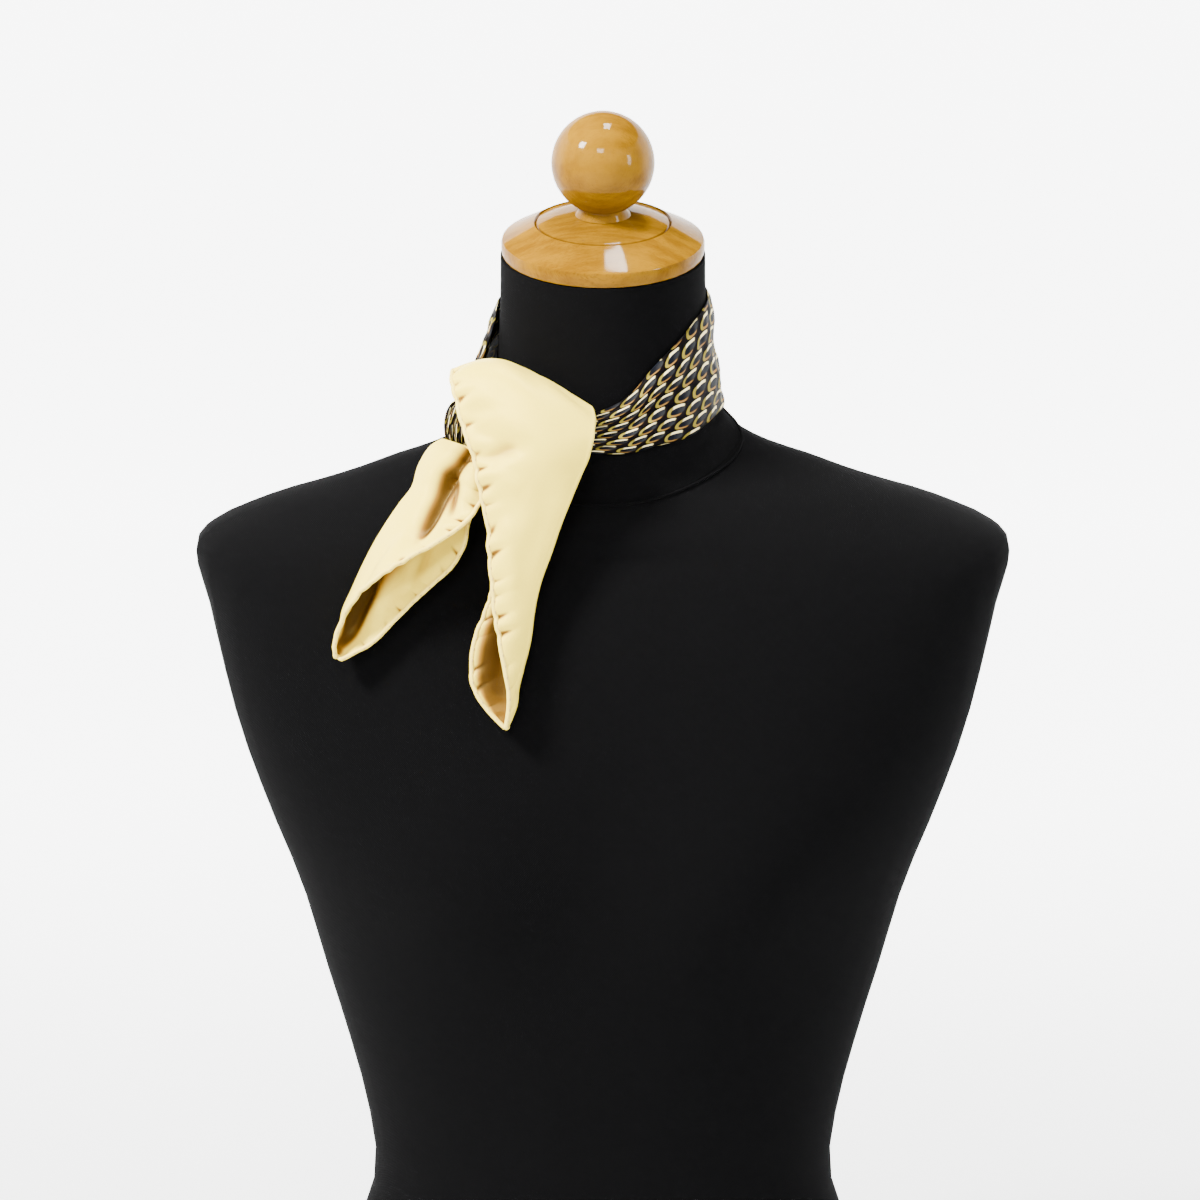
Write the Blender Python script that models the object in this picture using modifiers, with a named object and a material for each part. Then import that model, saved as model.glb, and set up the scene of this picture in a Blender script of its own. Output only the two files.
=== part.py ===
"""Silk square folded on the bias and tied round the neck of a jersey covered bust form.

Millimetres in the tables, metres in the scene. The front of the form faces -Y, +Z is up,
+X is the wearer's left, and the form stands on its flat base at height zero.
"""
from collections import namedtuple
from math import atan2, cos, pi, radians, sin

import bmesh
import bpy
import numpy as np
from mathutils import Vector

MM = 0.001

# Bust form
RING_POINTS = 52            # points round each section of the form
RING_SPREAD = 1.3           # pushes ring points towards the shoulders
BUST_RISE = 13.0            # how far the bust stands out of the chest
BUST_HEIGHT = 362.0
BUST_AZIMUTH = 36.0         # degrees each side of the centre front
BUST_SPREAD = 19.0          # how wide the bust fades out, in degrees
BUST_ABOVE = 62.0           # how far it fades out upwards and downwards
BUST_BELOW = 40.0
AXIS_HEIGHTS = (0, 560, 600, 669, 700)
AXIS_DEPTHS = (2, -2, -5, -18, -24)     # the form's middle leans forward with the neck
COLUMN_BLEND = 7.0          # sharpness of the join of neck column and shoulders
NECK_LEAN = 16.0            # forward lean of the neck top, degrees
NECK_TOP = (0.0, -18.0, 675.5)
SEAM_LEAN = 29.0            # forward lean of the neck seam, degrees
SEAM_AT = (0.0, 0.0, 590.0)
SEAM_GAP = 0.3              # gap left between pieces that are sewn or set together

# Wooden neck cap and ball
CAP_RADIUS = 51.5
CAP_EDGE = 8.5
CAP_GROOVE_RADIUS = 34.0
CAP_RISE = 16.6             # height of the cone at the groove
CAP_CENTRE = 20.3           # height of the cone at the ball's neck
BALL_RADIUS = 26.0
BALL_CENTRE = 47.8          # height above the neck top
BALL_NECK_RADIUS = 12.5
TURNED_STEPS = 40

# Scarf
SILK_WALL = 1.2             # wall of the modelled silk
HEM_WALL = 2.2              # rolled hem
BAND_WALL = 2.4             # folded layers of the neck band
BAND_GAP = 0.9              # clearance of the band to the neck
BAND_ROWS = 56
BAND_COLUMNS = 11

Trunk = namedtuple("Trunk", "height half_width front back power")
TRUNK = [
    Trunk(0, 158, -94, 104, 2.3),
    Trunk(40, 165, -97, 110.1, 2.3),
    Trunk(90, 157, -94, 103, 2.3),
    Trunk(140, 137, -87, 90, 2.2),
    Trunk(190, 121, -80, 77, 2.2),
    Trunk(219, 124, -81, 76, 2.2),
    Trunk(261, 134, -86, 79, 2.2),
    Trunk(303, 146, -92, 84, 2.3),
    Trunk(346, 158, -98, 90, 2.4),
    Trunk(388, 174, -100, 94, 2.6),
    Trunk(430, 188, -98, 97, 2.9),
    Trunk(472, 198, -92, 97, 3.1),
    Trunk(500, 204, -85, 95, 3.1),
    Trunk(518, 209.5, -79, 91, 2.9),
    Trunk(527, 210, -75, 88, 2.7),
    Trunk(533, 206, -72, 85, 2.5),
    Trunk(538, 199, -69, 82, 2.3),
    Trunk(544, 186, -65, 79, 2.1),
    Trunk(551, 167, -59, 75, 2.0),
    Trunk(557, 146, -53, 71, 1.9),
    Trunk(563, 127, -47, 67, 1.9),
    Trunk(570, 108, -40, 62, 1.9),
    Trunk(576, 89, -34, 57, 1.9),
    Trunk(582, 74, -28, 51, 2.0),
    Trunk(590, 60, -20, 44, 2.0),
    Trunk(604, 40, -12, 30, 2.0),
]

Neck = namedtuple("Neck", "height half_width front back")
NECK = [
    Neck(530, 62, -64, 62),
    Neck(560, 60.5, -62.5, 62),
    Neck(590, 58, -62, 60),
    Neck(610, 55.5, -62.5, 55),
    Neck(635, 53, -64, 46),
    Neck(665, 52, -67.5, 36),
    Neck(705, 52, -72, 31),
]

# Neck band, from the knot round the viewer's right side and the back to the knot again.
# middle and width are heights, lift is the stand-off from the neck, flare the extra
# stand-off of the lower edge, pleat the depth of the lengthwise folds.
Band = namedtuple("Band", "azimuth middle width lift flare pleat")
BAND = [
    Band(-27, 590.5, 12, 17, 0.0, 1.5),
    Band(-20, 590, 14, 12, 0.0, 2.0),
    Band(-11, 589.5, 18, 6.5, 0.0, 1.8),
    Band(0, 590, 22, 1.0, 0.0, 2.5),
    Band(13, 593.5, 29, 0.5, 0.0, 2.6),
    Band(26, 601.5, 39, 0.5, 0.0, 2.6),
    Band(42, 608.5, 48, 0.3, 0.5, 2.3),
    Band(62, 617.5, 54, 0.0, 0.5, 1.8),
    Band(90, 625.5, 57, 0.0, 0.5, 1.6),
    Band(120, 633, 54, 0.0, 1.2, 2.2),
    Band(150, 638, 48, 0.0, 2.0, 2.6),
    Band(180, 640, 45, 0.0, 2.5, 3.0),
    Band(210, 638, 45, 0.0, 3.5, 3.0),
    Band(240, 633, 46, 0.0, 5.0, 2.4),
    Band(262, 627, 46, 0.0, 6.0, 2.2),
    Band(276, 618, 40, 2.0, 6.5, 2.2),
    Band(288, 607, 29, 9.5, 5.0, 2.2),
    Band(298, 596.5, 13, 23.0, 0.5, 1.4),
    Band(304, 593.5, 9, 30.8, 0.0, 0.8),
]

# Knot wrap, a gathered loop standing off the neck in front of the viewer's left side
KNOT_AT = (-57.0, -65.5, 592.0)
KNOT_AXIS = (0.86, -0.5, -0.08)
KNOT_LENGTH = 42.0
KNOT_DEPTH_RADIUS = 9.5
KNOT_HEIGHT_RADIUS = 12.8
KNOT_WALL = 1.6
KNOT_WAIST = 0.16           # share by which the knot narrows at its ends
KNOT_GATHERS = 5
KNOT_POINTS = 18
GATHER_DEPTH = 0.8

# Tails. Every row is one section of a strip folded in two: the free hem of the front layer,
# the fold, and the free hem of the back layer, each as x, y, z. belly is the outward swell of
# the front layer, arch its upward swell, dent a trough along it, turn how far the section has
# rolled over the knot in degrees (0 hangs down in front, 180 climbs up behind).
Fold = namedtuple("Fold", "turn hem fold back belly arch dent")
FRONT_TAIL = [
    Fold(175, (-50, -46, 599), (-19, -64.5, 594), (-45, -50.5, 599), 2, 2, 0),
    Fold(165, (-60, -46, 610), (-13, -65.5, 600), (-54, -50, 608), 2, 5, 0),
    Fold(135, (-70, -51, 618), (-7, -69, 604), (-61, -54, 614), 3, 9, 0),
    Fold(85, (-74.5, -60, 620), (-5, -75, 600), (-66, -61, 616), 4, 9, 0),
    Fold(40, (-75, -69, 616.5), (-5, -79, 597.5), (-66, -66, 613), 6, 7.5, 0),
    Fold(10, (-72.5, -75.5, 607), (-5.5, -83, 594), (-65, -71, 605), 8, 3, 0),
    Fold(0, (-69, -81, 595), (-6, -86, 589), (-62, -76, 594), 8, 1, 0),
    Fold(0, (-65.5, -86, 585), (-8.5, -88, 580), (-55, -80, 584), 7, 0, 0),
    Fold(0, (-62.5, -89, 574), (-12, -89, 572), (-52, -83, 573), 6, 0, 0),
    Fold(0, (-59.5, -92, 560), (-17, -91, 560), (-50, -85, 560), 5, 0, 0),
    Fold(0, (-56.5, -95, 546), (-22.5, -93, 546), (-49, -87, 546), 5, 0, 0),
    Fold(0, (-56, -98, 533), (-27, -95, 533), (-49, -89, 532), 4, 0, 0),
    Fold(0, (-54.5, -101, 520), (-32, -97, 519), (-53.5, -91, 519), 3, 0, 0),
    Fold(0, (-53.5, -103, 507), (-35, -99, 506), (-57.5, -93, 506), 2.5, 0, 0),
    Fold(0, (-51, -106, 493), (-37.5, -101, 491), (-63, -96, 492), 2, 0, 0),
    Fold(0, (-48.5, -108, 479), (-41, -104, 478), (-65, -99, 479), 1, 0, 0),
    Fold(0, (-46.5, -109, 467), (-43, -106, 468), (-64, -102, 468), 0.5, 0, 0),
    Fold(0, (-46.5, -109, 458), (-44, -107, 458), (-58, -104, 458), 0, 0, 0),
    Fold(0, (-47.8, -108.5, 449), (-46, -107, 449), (-51, -106, 449), 0, 0, 0),
]
SIDE_TAIL = [
    Fold(0, (-59, -77, 579.5), (-79, -64, 580.5), (-63, -68, 578), 2, 0, 0),
    Fold(0, (-60, -81, 575.5), (-84.5, -65, 577), (-62, -71, 574), 3, 0, 2),
    Fold(0, (-60.5, -85, 570), (-90, -67, 571.5), (-62, -75, 566), 6, 0, 7),
    Fold(0, (-60, -87.5, 561), (-94, -70, 563), (-64, -79, 556), 7, 0, 9),
    Fold(0, (-63, -91, 554.5), (-100, -72, 555), (-67, -84, 546), 7, 0, 8),
    Fold(0, (-70, -97, 547.5), (-106, -75, 546), (-69, -87, 536), 6, 0, 5),
    Fold(0, (-83, -102, 539.5), (-112, -78, 536), (-75, -89, 526), 5, 0, 2),
    Fold(0, (-97, -104, 532), (-118, -81, 525), (-84, -91, 518), 3.5, 0, 0),
    Fold(0, (-108, -104, 525), (-123.5, -84, 514), (-94, -92, 509), 2, 0, 0),
    Fold(0, (-119, -102, 516), (-128.5, -87, 504), (-104, -93, 499), 1, 0, 0),
    Fold(0, (-126, -100, 506), (-130.5, -90, 494), (-114, -94, 489), 0.5, 0, 0),
    Fold(0, (-131, -97.5, 495), (-133, -93, 487), (-123, -95, 484), 0, 0, 0),
    Fold(0, (-133, -97, 487), (-132.5, -95, 482), (-129.5, -96, 481), 0, 0, 0),
]
FRONT_LAYER_COLUMNS = 10
BACK_LAYER_COLUMNS = 7
CHEST_CLEARANCE = 2.0
DENT_PLACE = 0.55           # where across the front layer the trough runs

COLOURS = {
    "jersey": (0.006, 0.006, 0.007, 1),
    "wood": (0.62, 0.34, 0.09, 1),
    "printed": (0.10, 0.08, 0.05, 1),
    "plain": (0.78, 0.66, 0.42, 1),
}


def clear_scene():
    for old in list(bpy.data.objects):
        bpy.data.objects.remove(old, do_unlink=True)


def collection(name):
    made = bpy.data.collections.new(name)
    bpy.context.scene.collection.children.link(made)
    return made


def material(name, colour, roughness, sheen=0.0):
    made = bpy.data.materials.new(name)
    made.use_nodes = True
    shader = made.node_tree.nodes["Principled BSDF"]
    shader.inputs["Base Color"].default_value = colour
    shader.inputs["Roughness"].default_value = roughness
    shader.inputs["Sheen Weight"].default_value = sheen
    return made


def through(table, column, place, key=0):
    """Smooth curve through one column of a table, read at place along the key column."""
    at = np.array([row[key] for row in table], float)
    values = np.array([getattr(row, column) for row in table], float)
    slopes = np.gradient(values, at)
    i = int(np.clip(np.searchsorted(at, place) - 1, 0, len(at) - 2))
    span = at[i + 1] - at[i]
    t = float(np.clip((place - at[i]) / span, 0, 1))
    rise = t * t * (3 - 2 * t)
    ease = span * (t * (1 - t) ** 2 * slopes[i] - t * t * (1 - t) * slopes[i + 1])
    return values[i] * (1 - rise) + values[i + 1] * rise + ease


def between(table, place):
    """One row of a table of folds at a place between its rows, place counted in rows."""
    last = len(table) - 1
    i = min(int(place), last - 1)
    t = place - i
    before, start = table[max(i - 1, 0)], table[i]
    end, after = table[i + 1], table[min(i + 2, last)]

    def blend(a, b, c, d):
        a, b, c, d = (np.array(v, float) for v in (a, b, c, d))
        bend = (2 * a - 5 * b + 4 * c - d) * t * t + (3 * b - a - 3 * c + d) * t ** 3
        return (2 * b + (c - a) * t + bend) / 2

    mixed = [blend(a, b, c, d) for a, b, c, d in zip(before, start, end, after)]
    return Fold(*mixed)


def axis_y(height):
    """Depth of the middle of the form at a height."""
    return float(np.interp(height, AXIS_HEIGHTS, AXIS_DEPTHS))


def body_radius(azimuth, height):
    """Distance from the form's axis to its surface; azimuth is 0 at the front, 90 at +X."""
    turn = radians(azimuth)
    side, ahead = abs(sin(turn)), cos(turn)
    middle = axis_y(height)
    reach = []
    if height < TRUNK[-1].height:
        part = {c: through(TRUNK, c, height) for c in ("half_width", "front", "back", "power")}
        deep = middle - part["front"] if ahead > 0 else part["back"] - middle
        power = part["power"]
        sum_ = (side / part["half_width"]) ** power + (abs(ahead) / max(deep, 3)) ** power
        reach.append(sum_ ** (-1 / power))
    if height > NECK[0].height:
        part = {c: through(NECK, c, height) for c in ("half_width", "front", "back")}
        deep = middle - part["front"] if ahead > 0 else part["back"] - middle
        reach.append(((side / part["half_width"]) ** 2 + (ahead / deep) ** 2) ** -0.5)
    radius = sum(r ** COLUMN_BLEND for r in reach) ** (1 / COLUMN_BLEND)
    wrapped = abs((azimuth + 180) % 360 - 180)
    across = (wrapped - BUST_AZIMUTH) / BUST_SPREAD
    above = (height - BUST_HEIGHT) / (BUST_ABOVE if height > BUST_HEIGHT else BUST_BELOW)
    return radius + BUST_RISE * np.exp(-across ** 2 - above ** 2)


def body_point(azimuth, height, lift=0.0):
    turn = radians(azimuth)
    reach = body_radius(azimuth, height) + lift
    return Vector((reach * sin(turn), axis_y(height) - reach * cos(turn), height))


def body_front(x, height):
    """Depth of the form's front surface at x and a height."""
    low, high = -89.0, 89.0
    for _ in range(24):
        middle = (low + high) / 2
        if body_point(middle, height).x < x:
            low = middle
        else:
            high = middle
    return body_point((low + high) / 2, height).y


def link(bm, name, home, look):
    bmesh.ops.recalc_face_normals(bm, faces=bm.faces)
    for face in bm.faces:
        face.smooth = len(face.verts) < 5
    mesh = bpy.data.meshes.new(name)
    bm.to_mesh(mesh)
    bm.free()
    made = bpy.data.objects.new(name, mesh)
    home.objects.link(made)
    made.data.materials.append(look)
    return made


def loft(rings, closed_ends=True):
    """Skin over rings of equal point count, the ends shut with flat faces."""
    bm = bmesh.new()
    loops = [[bm.verts.new(Vector(p) * MM) for p in ring] for ring in rings]
    count = len(loops[0])
    for lower, upper in zip(loops, loops[1:]):
        for i in range(count):
            j = (i + 1) % count
            bm.faces.new((lower[i], lower[j], upper[j], upper[i]))
    if closed_ends:
        bm.faces.new(list(reversed(loops[0])))
        bm.faces.new(loops[-1])
    return bm


def cut(bm, at, lean, keep_above, gap):
    """Cut a closed body with a plane leaning forward and shut the cut."""
    normal = Vector((0, -sin(radians(lean)), cos(radians(lean))))
    side = 1 if keep_above else -1
    spot = (Vector(at) + normal * gap * side) * MM
    geometry = list(bm.verts) + list(bm.edges) + list(bm.faces)
    done = bmesh.ops.bisect_plane(
        bm, geom=geometry, dist=1e-7, plane_co=spot, plane_no=normal,
        clear_inner=keep_above, clear_outer=not keep_above)
    edges = [e for e in done["geom_cut"] if isinstance(e, bmesh.types.BMEdge)]
    bmesh.ops.edgeloop_fill(bm, edges=edges)
    return bm


def form_heights():
    low = list(range(0, 200, 20)) + list(range(200, 480, 20))
    shoulder = [482, 496, 507, 516, 523, 529, 534, 539, 544, 548]
    seam = [552 + 3.6 * i for i in range(20)]
    column = [626, 636, 648, 660, 672, 684, 698]
    return low + shoulder + seam + column


def form_body():
    rings = []
    for height in form_heights():
        ring = []
        for i in range(RING_POINTS):
            t = 2 * pi * i / RING_POINTS
            azimuth = atan2(RING_SPREAD * sin(t), cos(t)) * 180 / pi
            ring.append(body_point(azimuth, height))
        rings.append(ring)
    return loft(rings)


def build_form(home, look):
    torso = cut(form_body(), SEAM_AT, SEAM_LEAN, False, SEAM_GAP / 2)
    link(torso, "form_torso", home, look)
    neck = cut(form_body(), SEAM_AT, SEAM_LEAN, True, SEAM_GAP / 2)
    cut(neck, NECK_TOP, NECK_LEAN, False, SEAM_GAP)
    link(neck, "form_neck", home, look)


def turned(name, outline, home, look):
    """Piece turned about the leaning axis of the neck from its radius and height outline."""
    mesh = bpy.data.meshes.new(name)
    mesh.from_pydata([(r * MM, 0, h * MM) for r, h in outline],
                     [(i, i + 1) for i in range(len(outline) - 1)], [])
    made = bpy.data.objects.new(name, mesh)
    home.objects.link(made)
    made.data.materials.append(look)
    made.location = Vector(NECK_TOP) * MM
    made.rotation_euler = (radians(NECK_LEAN), 0, 0)
    spin = made.modifiers.new("turn", "SCREW")
    spin.axis = "Z"
    spin.steps = TURNED_STEPS
    spin.render_steps = TURNED_STEPS
    spin.use_merge_vertices = True
    spin.merge_threshold = 0.000001
    spin.use_normal_calculate = True
    return made


def build_cap(home, look):
    r, groove = CAP_RADIUS, CAP_GROOVE_RADIUS
    outline = [
        (0, 0), (r - 1.6, 0), (r - 0.4, 0.6), (r, 2.0), (r, CAP_EDGE - 2.2),
        (r - 0.5, CAP_EDGE - 0.8), (r - 1.8, CAP_EDGE),
        (groove + 7, CAP_RISE - 3.6), (groove + 0.9, CAP_RISE),
        (groove, CAP_RISE - 0.9), (groove - 0.9, CAP_RISE + 0.1),
        (24, CAP_RISE + 2.0), (BALL_NECK_RADIUS + 2, CAP_CENTRE), (0, CAP_CENTRE),
    ]
    turned("neck_cap", outline, home, look)


def build_ball(home, look):
    neck = BALL_NECK_RADIUS
    foot = CAP_CENTRE + SEAM_GAP
    start = np.arcsin(neck / BALL_RADIUS)
    arc = np.linspace(pi - start, 0, 18)
    outline = [(0, foot), (neck + 1.6, foot), (neck + 1.0, foot + 1.4), (neck, foot + 3.4)]
    outline += [(BALL_RADIUS * sin(a), BALL_CENTRE + BALL_RADIUS * cos(a)) for a in arc[:-1]]
    outline.append((0, BALL_CENTRE + BALL_RADIUS))
    turned("cap_finial", outline, home, look)


def band_section(azimuth):
    """Closed section of the neck band: up its outer face, down its inner face."""
    row = {c: through(BAND, c, azimuth) for c in Band._fields[1:]}
    outer, inner = [], []
    for i in range(BAND_COLUMNS):
        w = i / (BAND_COLUMNS - 1)
        height = row["middle"] + row["width"] * (w - 0.5)
        swell = 0.5 - 0.5 * cos(4 * pi * (w ** 1.15))
        lift = BAND_GAP + row["lift"] + row["flare"] * (1 - w) + row["pleat"] * swell
        edge = 0.7 if i in (0, BAND_COLUMNS - 1) else 1.0
        inner.append(body_point(azimuth, height, lift))
        outer.append(body_point(azimuth, height, lift + BAND_WALL * edge))
    return outer + inner[::-1]


def build_band(home, look):
    turns = np.linspace(BAND[0].azimuth, BAND[-1].azimuth, BAND_ROWS)
    link(loft([band_section(a) for a in turns]), "neck_band", home, look)


def knot_ring(place, wall):
    """Ring of the gathered knot wrap at a place 0 to 1 along its axis, wall inside it."""
    axis = Vector(KNOT_AXIS).normalized()
    up = Vector((0, 0, 1))
    out = axis.cross(up).normalized()
    up = out.cross(axis)
    centre = Vector(KNOT_AT) + axis * KNOT_LENGTH * (place - 0.5)
    waist = 1 - KNOT_WAIST * (2 * place - 1) ** 2
    gather = GATHER_DEPTH * sin(2 * pi * KNOT_GATHERS * (place + 0.05 * sin(2 * pi * place)))
    ring = []
    for i in range(KNOT_POINTS):
        a = 2 * pi * i / KNOT_POINTS
        deep = KNOT_DEPTH_RADIUS * waist + gather - wall
        high = KNOT_HEIGHT_RADIUS * waist + gather - wall
        ring.append(centre + out * deep * cos(a) + up * high * sin(a))
    return ring


def build_knot(home, look):
    steps = np.linspace(0, 1, 5 * KNOT_GATHERS + 1)
    rings = [knot_ring(s, 0) for s in steps] + [knot_ring(s, KNOT_WALL) for s in steps[::-1]]
    bm = loft(rings + [rings[0]], closed_ends=False)
    bmesh.ops.remove_doubles(bm, verts=bm.verts, dist=0.000001)
    link(bm, "knot_wrap", home, look)


def tail_section(row, back_swell):
    """Middle line of a folded tail: front layer from hem to fold, back layer to its hem."""
    turn = radians(float(row.turn))
    out = Vector((0, -cos(turn), sin(turn)))
    hem, fold, back = Vector(row.hem), Vector(row.fold), Vector(row.back)
    line = []
    for i in range(FRONT_LAYER_COLUMNS):
        s = i / (FRONT_LAYER_COLUMNS - 1)
        swell = float(row.belly) * 4 * s * (1 - s)
        arch = float(row.arch) * sin(pi * min(s / 0.5, 1.0) / 2) * (1 - s) * 1.6
        dent = float(row.dent) * np.exp(-((s - DENT_PLACE) / 0.17) ** 2)
        point = hem.lerp(fold, s) + out * (swell - dent)
        line.append(point + Vector((0, 0, arch if s > 0 else 0)))
    away = (fold - hem).normalized()
    layer_gap = max(2.6, 0.25 * (back - hem).length)
    behind = fold - out * layer_gap
    line.append(fold - out * layer_gap / 2 + away * layer_gap / 2)
    for i in range(BACK_LAYER_COLUMNS):
        s = i / (BACK_LAYER_COLUMNS - 1)
        arch = float(row.arch) * 4 * s * (1 - s) * 0.8
        swell = float(row.belly) * back_swell * 4 * s * (1 - s)
        line.append(behind.lerp(back, s) + out * swell + Vector((0, 0, arch)))
    return line


def sheet(grid, walls):
    """Closed cloth body on a grid of middle points, walls thick from column to column."""
    points = np.array([[tuple(p) for p in row] for row in grid])
    along = np.gradient(points, axis=0)
    across = np.gradient(points, axis=1)
    normal = np.cross(across, along)
    normal /= np.linalg.norm(normal, axis=2, keepdims=True)
    shift = normal * (np.array(walls)[None, :, None] / 2)
    rings = []
    for front, back in zip(points + shift, points - shift):
        rings.append([Vector(p) for p in front] + [Vector(p) for p in back[::-1]])
    return loft(rings)


def build_tail(name, table, rows, back_swell, home, look):
    places = np.linspace(0, len(table) - 1, rows)
    grid = [tail_section(between(table, p), back_swell) for p in places]
    for line in grid:
        for point in line:
            if point.z < 582:
                limit = body_front(point.x, point.z) - CHEST_CLEARANCE
                point.y = min(point.y, limit)
    walls = [SILK_WALL] * len(grid[0])
    walls[0] = walls[-1] = HEM_WALL
    link(sheet(grid, walls), name, home, look)


def build():
    clear_scene()
    home = collection("silk_square_scarf")
    jersey = material("black_jersey", COLOURS["jersey"], 0.85, 0.3)
    wood = material("varnished_wood", COLOURS["wood"], 0.2)
    printed = material("printed_silk", COLOURS["printed"], 0.4, 0.2)
    plain = material("plain_silk", COLOURS["plain"], 0.35, 0.2)
    build_form(home, jersey)
    build_cap(home, wood)
    build_ball(home, wood)
    build_band(home, printed)
    build_knot(home, printed)
    build_tail("front_tail", FRONT_TAIL, 39, 0.9, home, plain)
    build_tail("side_tail", SIDE_TAIL, 28, 0.0, home, plain)


build()
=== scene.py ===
"""Looks of the knotted silk square and its bust form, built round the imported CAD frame.

Tables and sizes are millimetres in the frame of the CAD part; the front faces -Y, +Z is up.
"""

from collections import namedtuple
from math import cos, pi, radians, sin, tan

import bpy
import numpy as np
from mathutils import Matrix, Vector
from mathutils.bvhtree import BVHTree


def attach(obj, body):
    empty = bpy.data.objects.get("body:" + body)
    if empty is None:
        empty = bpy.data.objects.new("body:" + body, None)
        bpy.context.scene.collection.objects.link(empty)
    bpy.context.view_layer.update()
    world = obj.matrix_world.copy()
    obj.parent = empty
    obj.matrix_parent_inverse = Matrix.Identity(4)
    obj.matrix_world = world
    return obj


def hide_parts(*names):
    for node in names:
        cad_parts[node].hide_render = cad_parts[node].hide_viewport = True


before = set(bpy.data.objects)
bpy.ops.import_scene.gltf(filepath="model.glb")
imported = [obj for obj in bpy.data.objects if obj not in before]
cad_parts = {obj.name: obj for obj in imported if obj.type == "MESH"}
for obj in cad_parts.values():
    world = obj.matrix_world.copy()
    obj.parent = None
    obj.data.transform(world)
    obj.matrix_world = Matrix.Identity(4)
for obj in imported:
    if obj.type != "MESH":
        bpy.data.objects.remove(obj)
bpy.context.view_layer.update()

bl_info = {
    "name": "Knotted silk square",
    "version": (1, 0, 0),
    "blender": (4, 5, 0),
    "location": "3D View > Sidebar > Scarf",
    "description": "Builds a knotted silk square on a jersey bust form with a wooden neck cap",
    "category": "Add Mesh",
}

MM = 0.001

# Frame of the form, as in the CAD part
FORM_NODES = ("form_torso", "form_neck")
SEAM_LEAN = 29.0
SEAM_HEIGHT = 590.0
AXIS_Y = ([0, 560, 600, 669, 700], [2, -2, -5, -18, -24])

# Neck band: azimuth from the front, heights and stand-off from the neck
BAND_ROWS = 520
BAND_COLUMNS = 64
BAND_WALL = 2.2
BAND_GAP = 1.0
NECK_READINGS = 140         # places round and across at which the neck is read
NECK_LEVELS = 9
Band = namedtuple("Band", "azimuth middle width lift flare pleat")
BAND = [
    Band(-27, 590.5, 12, 17, 0.0, 1.5),
    Band(-20, 590, 14, 12, 0.0, 2.0),
    Band(-11, 589.5, 18, 6.5, 0.0, 1.8),
    Band(0, 590, 22, 1.0, 0.0, 2.5),
    Band(13, 593.5, 29, 0.5, 0.0, 2.6),
    Band(26, 601.5, 39, 0.5, 0.0, 2.6),
    Band(42, 608.5, 48, 0.3, 0.5, 2.3),
    Band(62, 617.5, 54, 0.0, 0.5, 1.8),
    Band(90, 625.5, 57, 0.0, 0.5, 1.6),
    Band(120, 633, 54, 0.0, 1.2, 2.2),
    Band(150, 638, 48, 0.0, 2.0, 2.6),
    Band(180, 640, 45, 0.0, 2.5, 3.0),
    Band(210, 638, 45, 0.0, 3.5, 3.0),
    Band(240, 633, 46, 0.0, 5.0, 2.4),
    Band(262, 627, 46, 0.0, 6.0, 2.2),
    Band(276, 618, 40, 2.0, 6.5, 2.2),
    Band(288, 607, 29, 9.5, 5.0, 2.2),
    Band(298, 596.5, 13, 23.0, 0.5, 1.4),
    Band(304, 593.5, 9, 30.8, 0.0, 0.8),
]
CLOTH_WIDTH = 52.0          # width of the folded band before it is gathered
GATHER_WIDTH = 44.0         # a band narrower than this is drawn into gathers
GATHER_SPAN = 26.0          # by this much narrower they are at their deepest
GATHER_DEPTH = 1.5
GATHER_COUNT = 4.2
STEP_AT = 0.66              # share of the width at which the upper layer of the fold ends
STEP_DROP = 0.9
NECK_REACH = 60.0           # usual radius of the neck

# Knot wrap
KNOT_AT = (-57.0, -65.5, 592.0)
KNOT_AXIS = (0.86, -0.5, -0.08)
KNOT_LENGTH = 42.0
KNOT_DEPTH_RADIUS = 9.5
KNOT_HEIGHT_RADIUS = 12.8
KNOT_WALL = 1.4
KNOT_PLEATS = 13
KNOT_FULLNESS = 4.5         # cloth gathered into each length of the knot
KNOT_PLEAT_DEPTH = 1.8
KNOT_ROUND = 74.0           # cloth once round the knot
KNOT_ROWS = 240
KNOT_COLUMNS = 120

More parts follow.
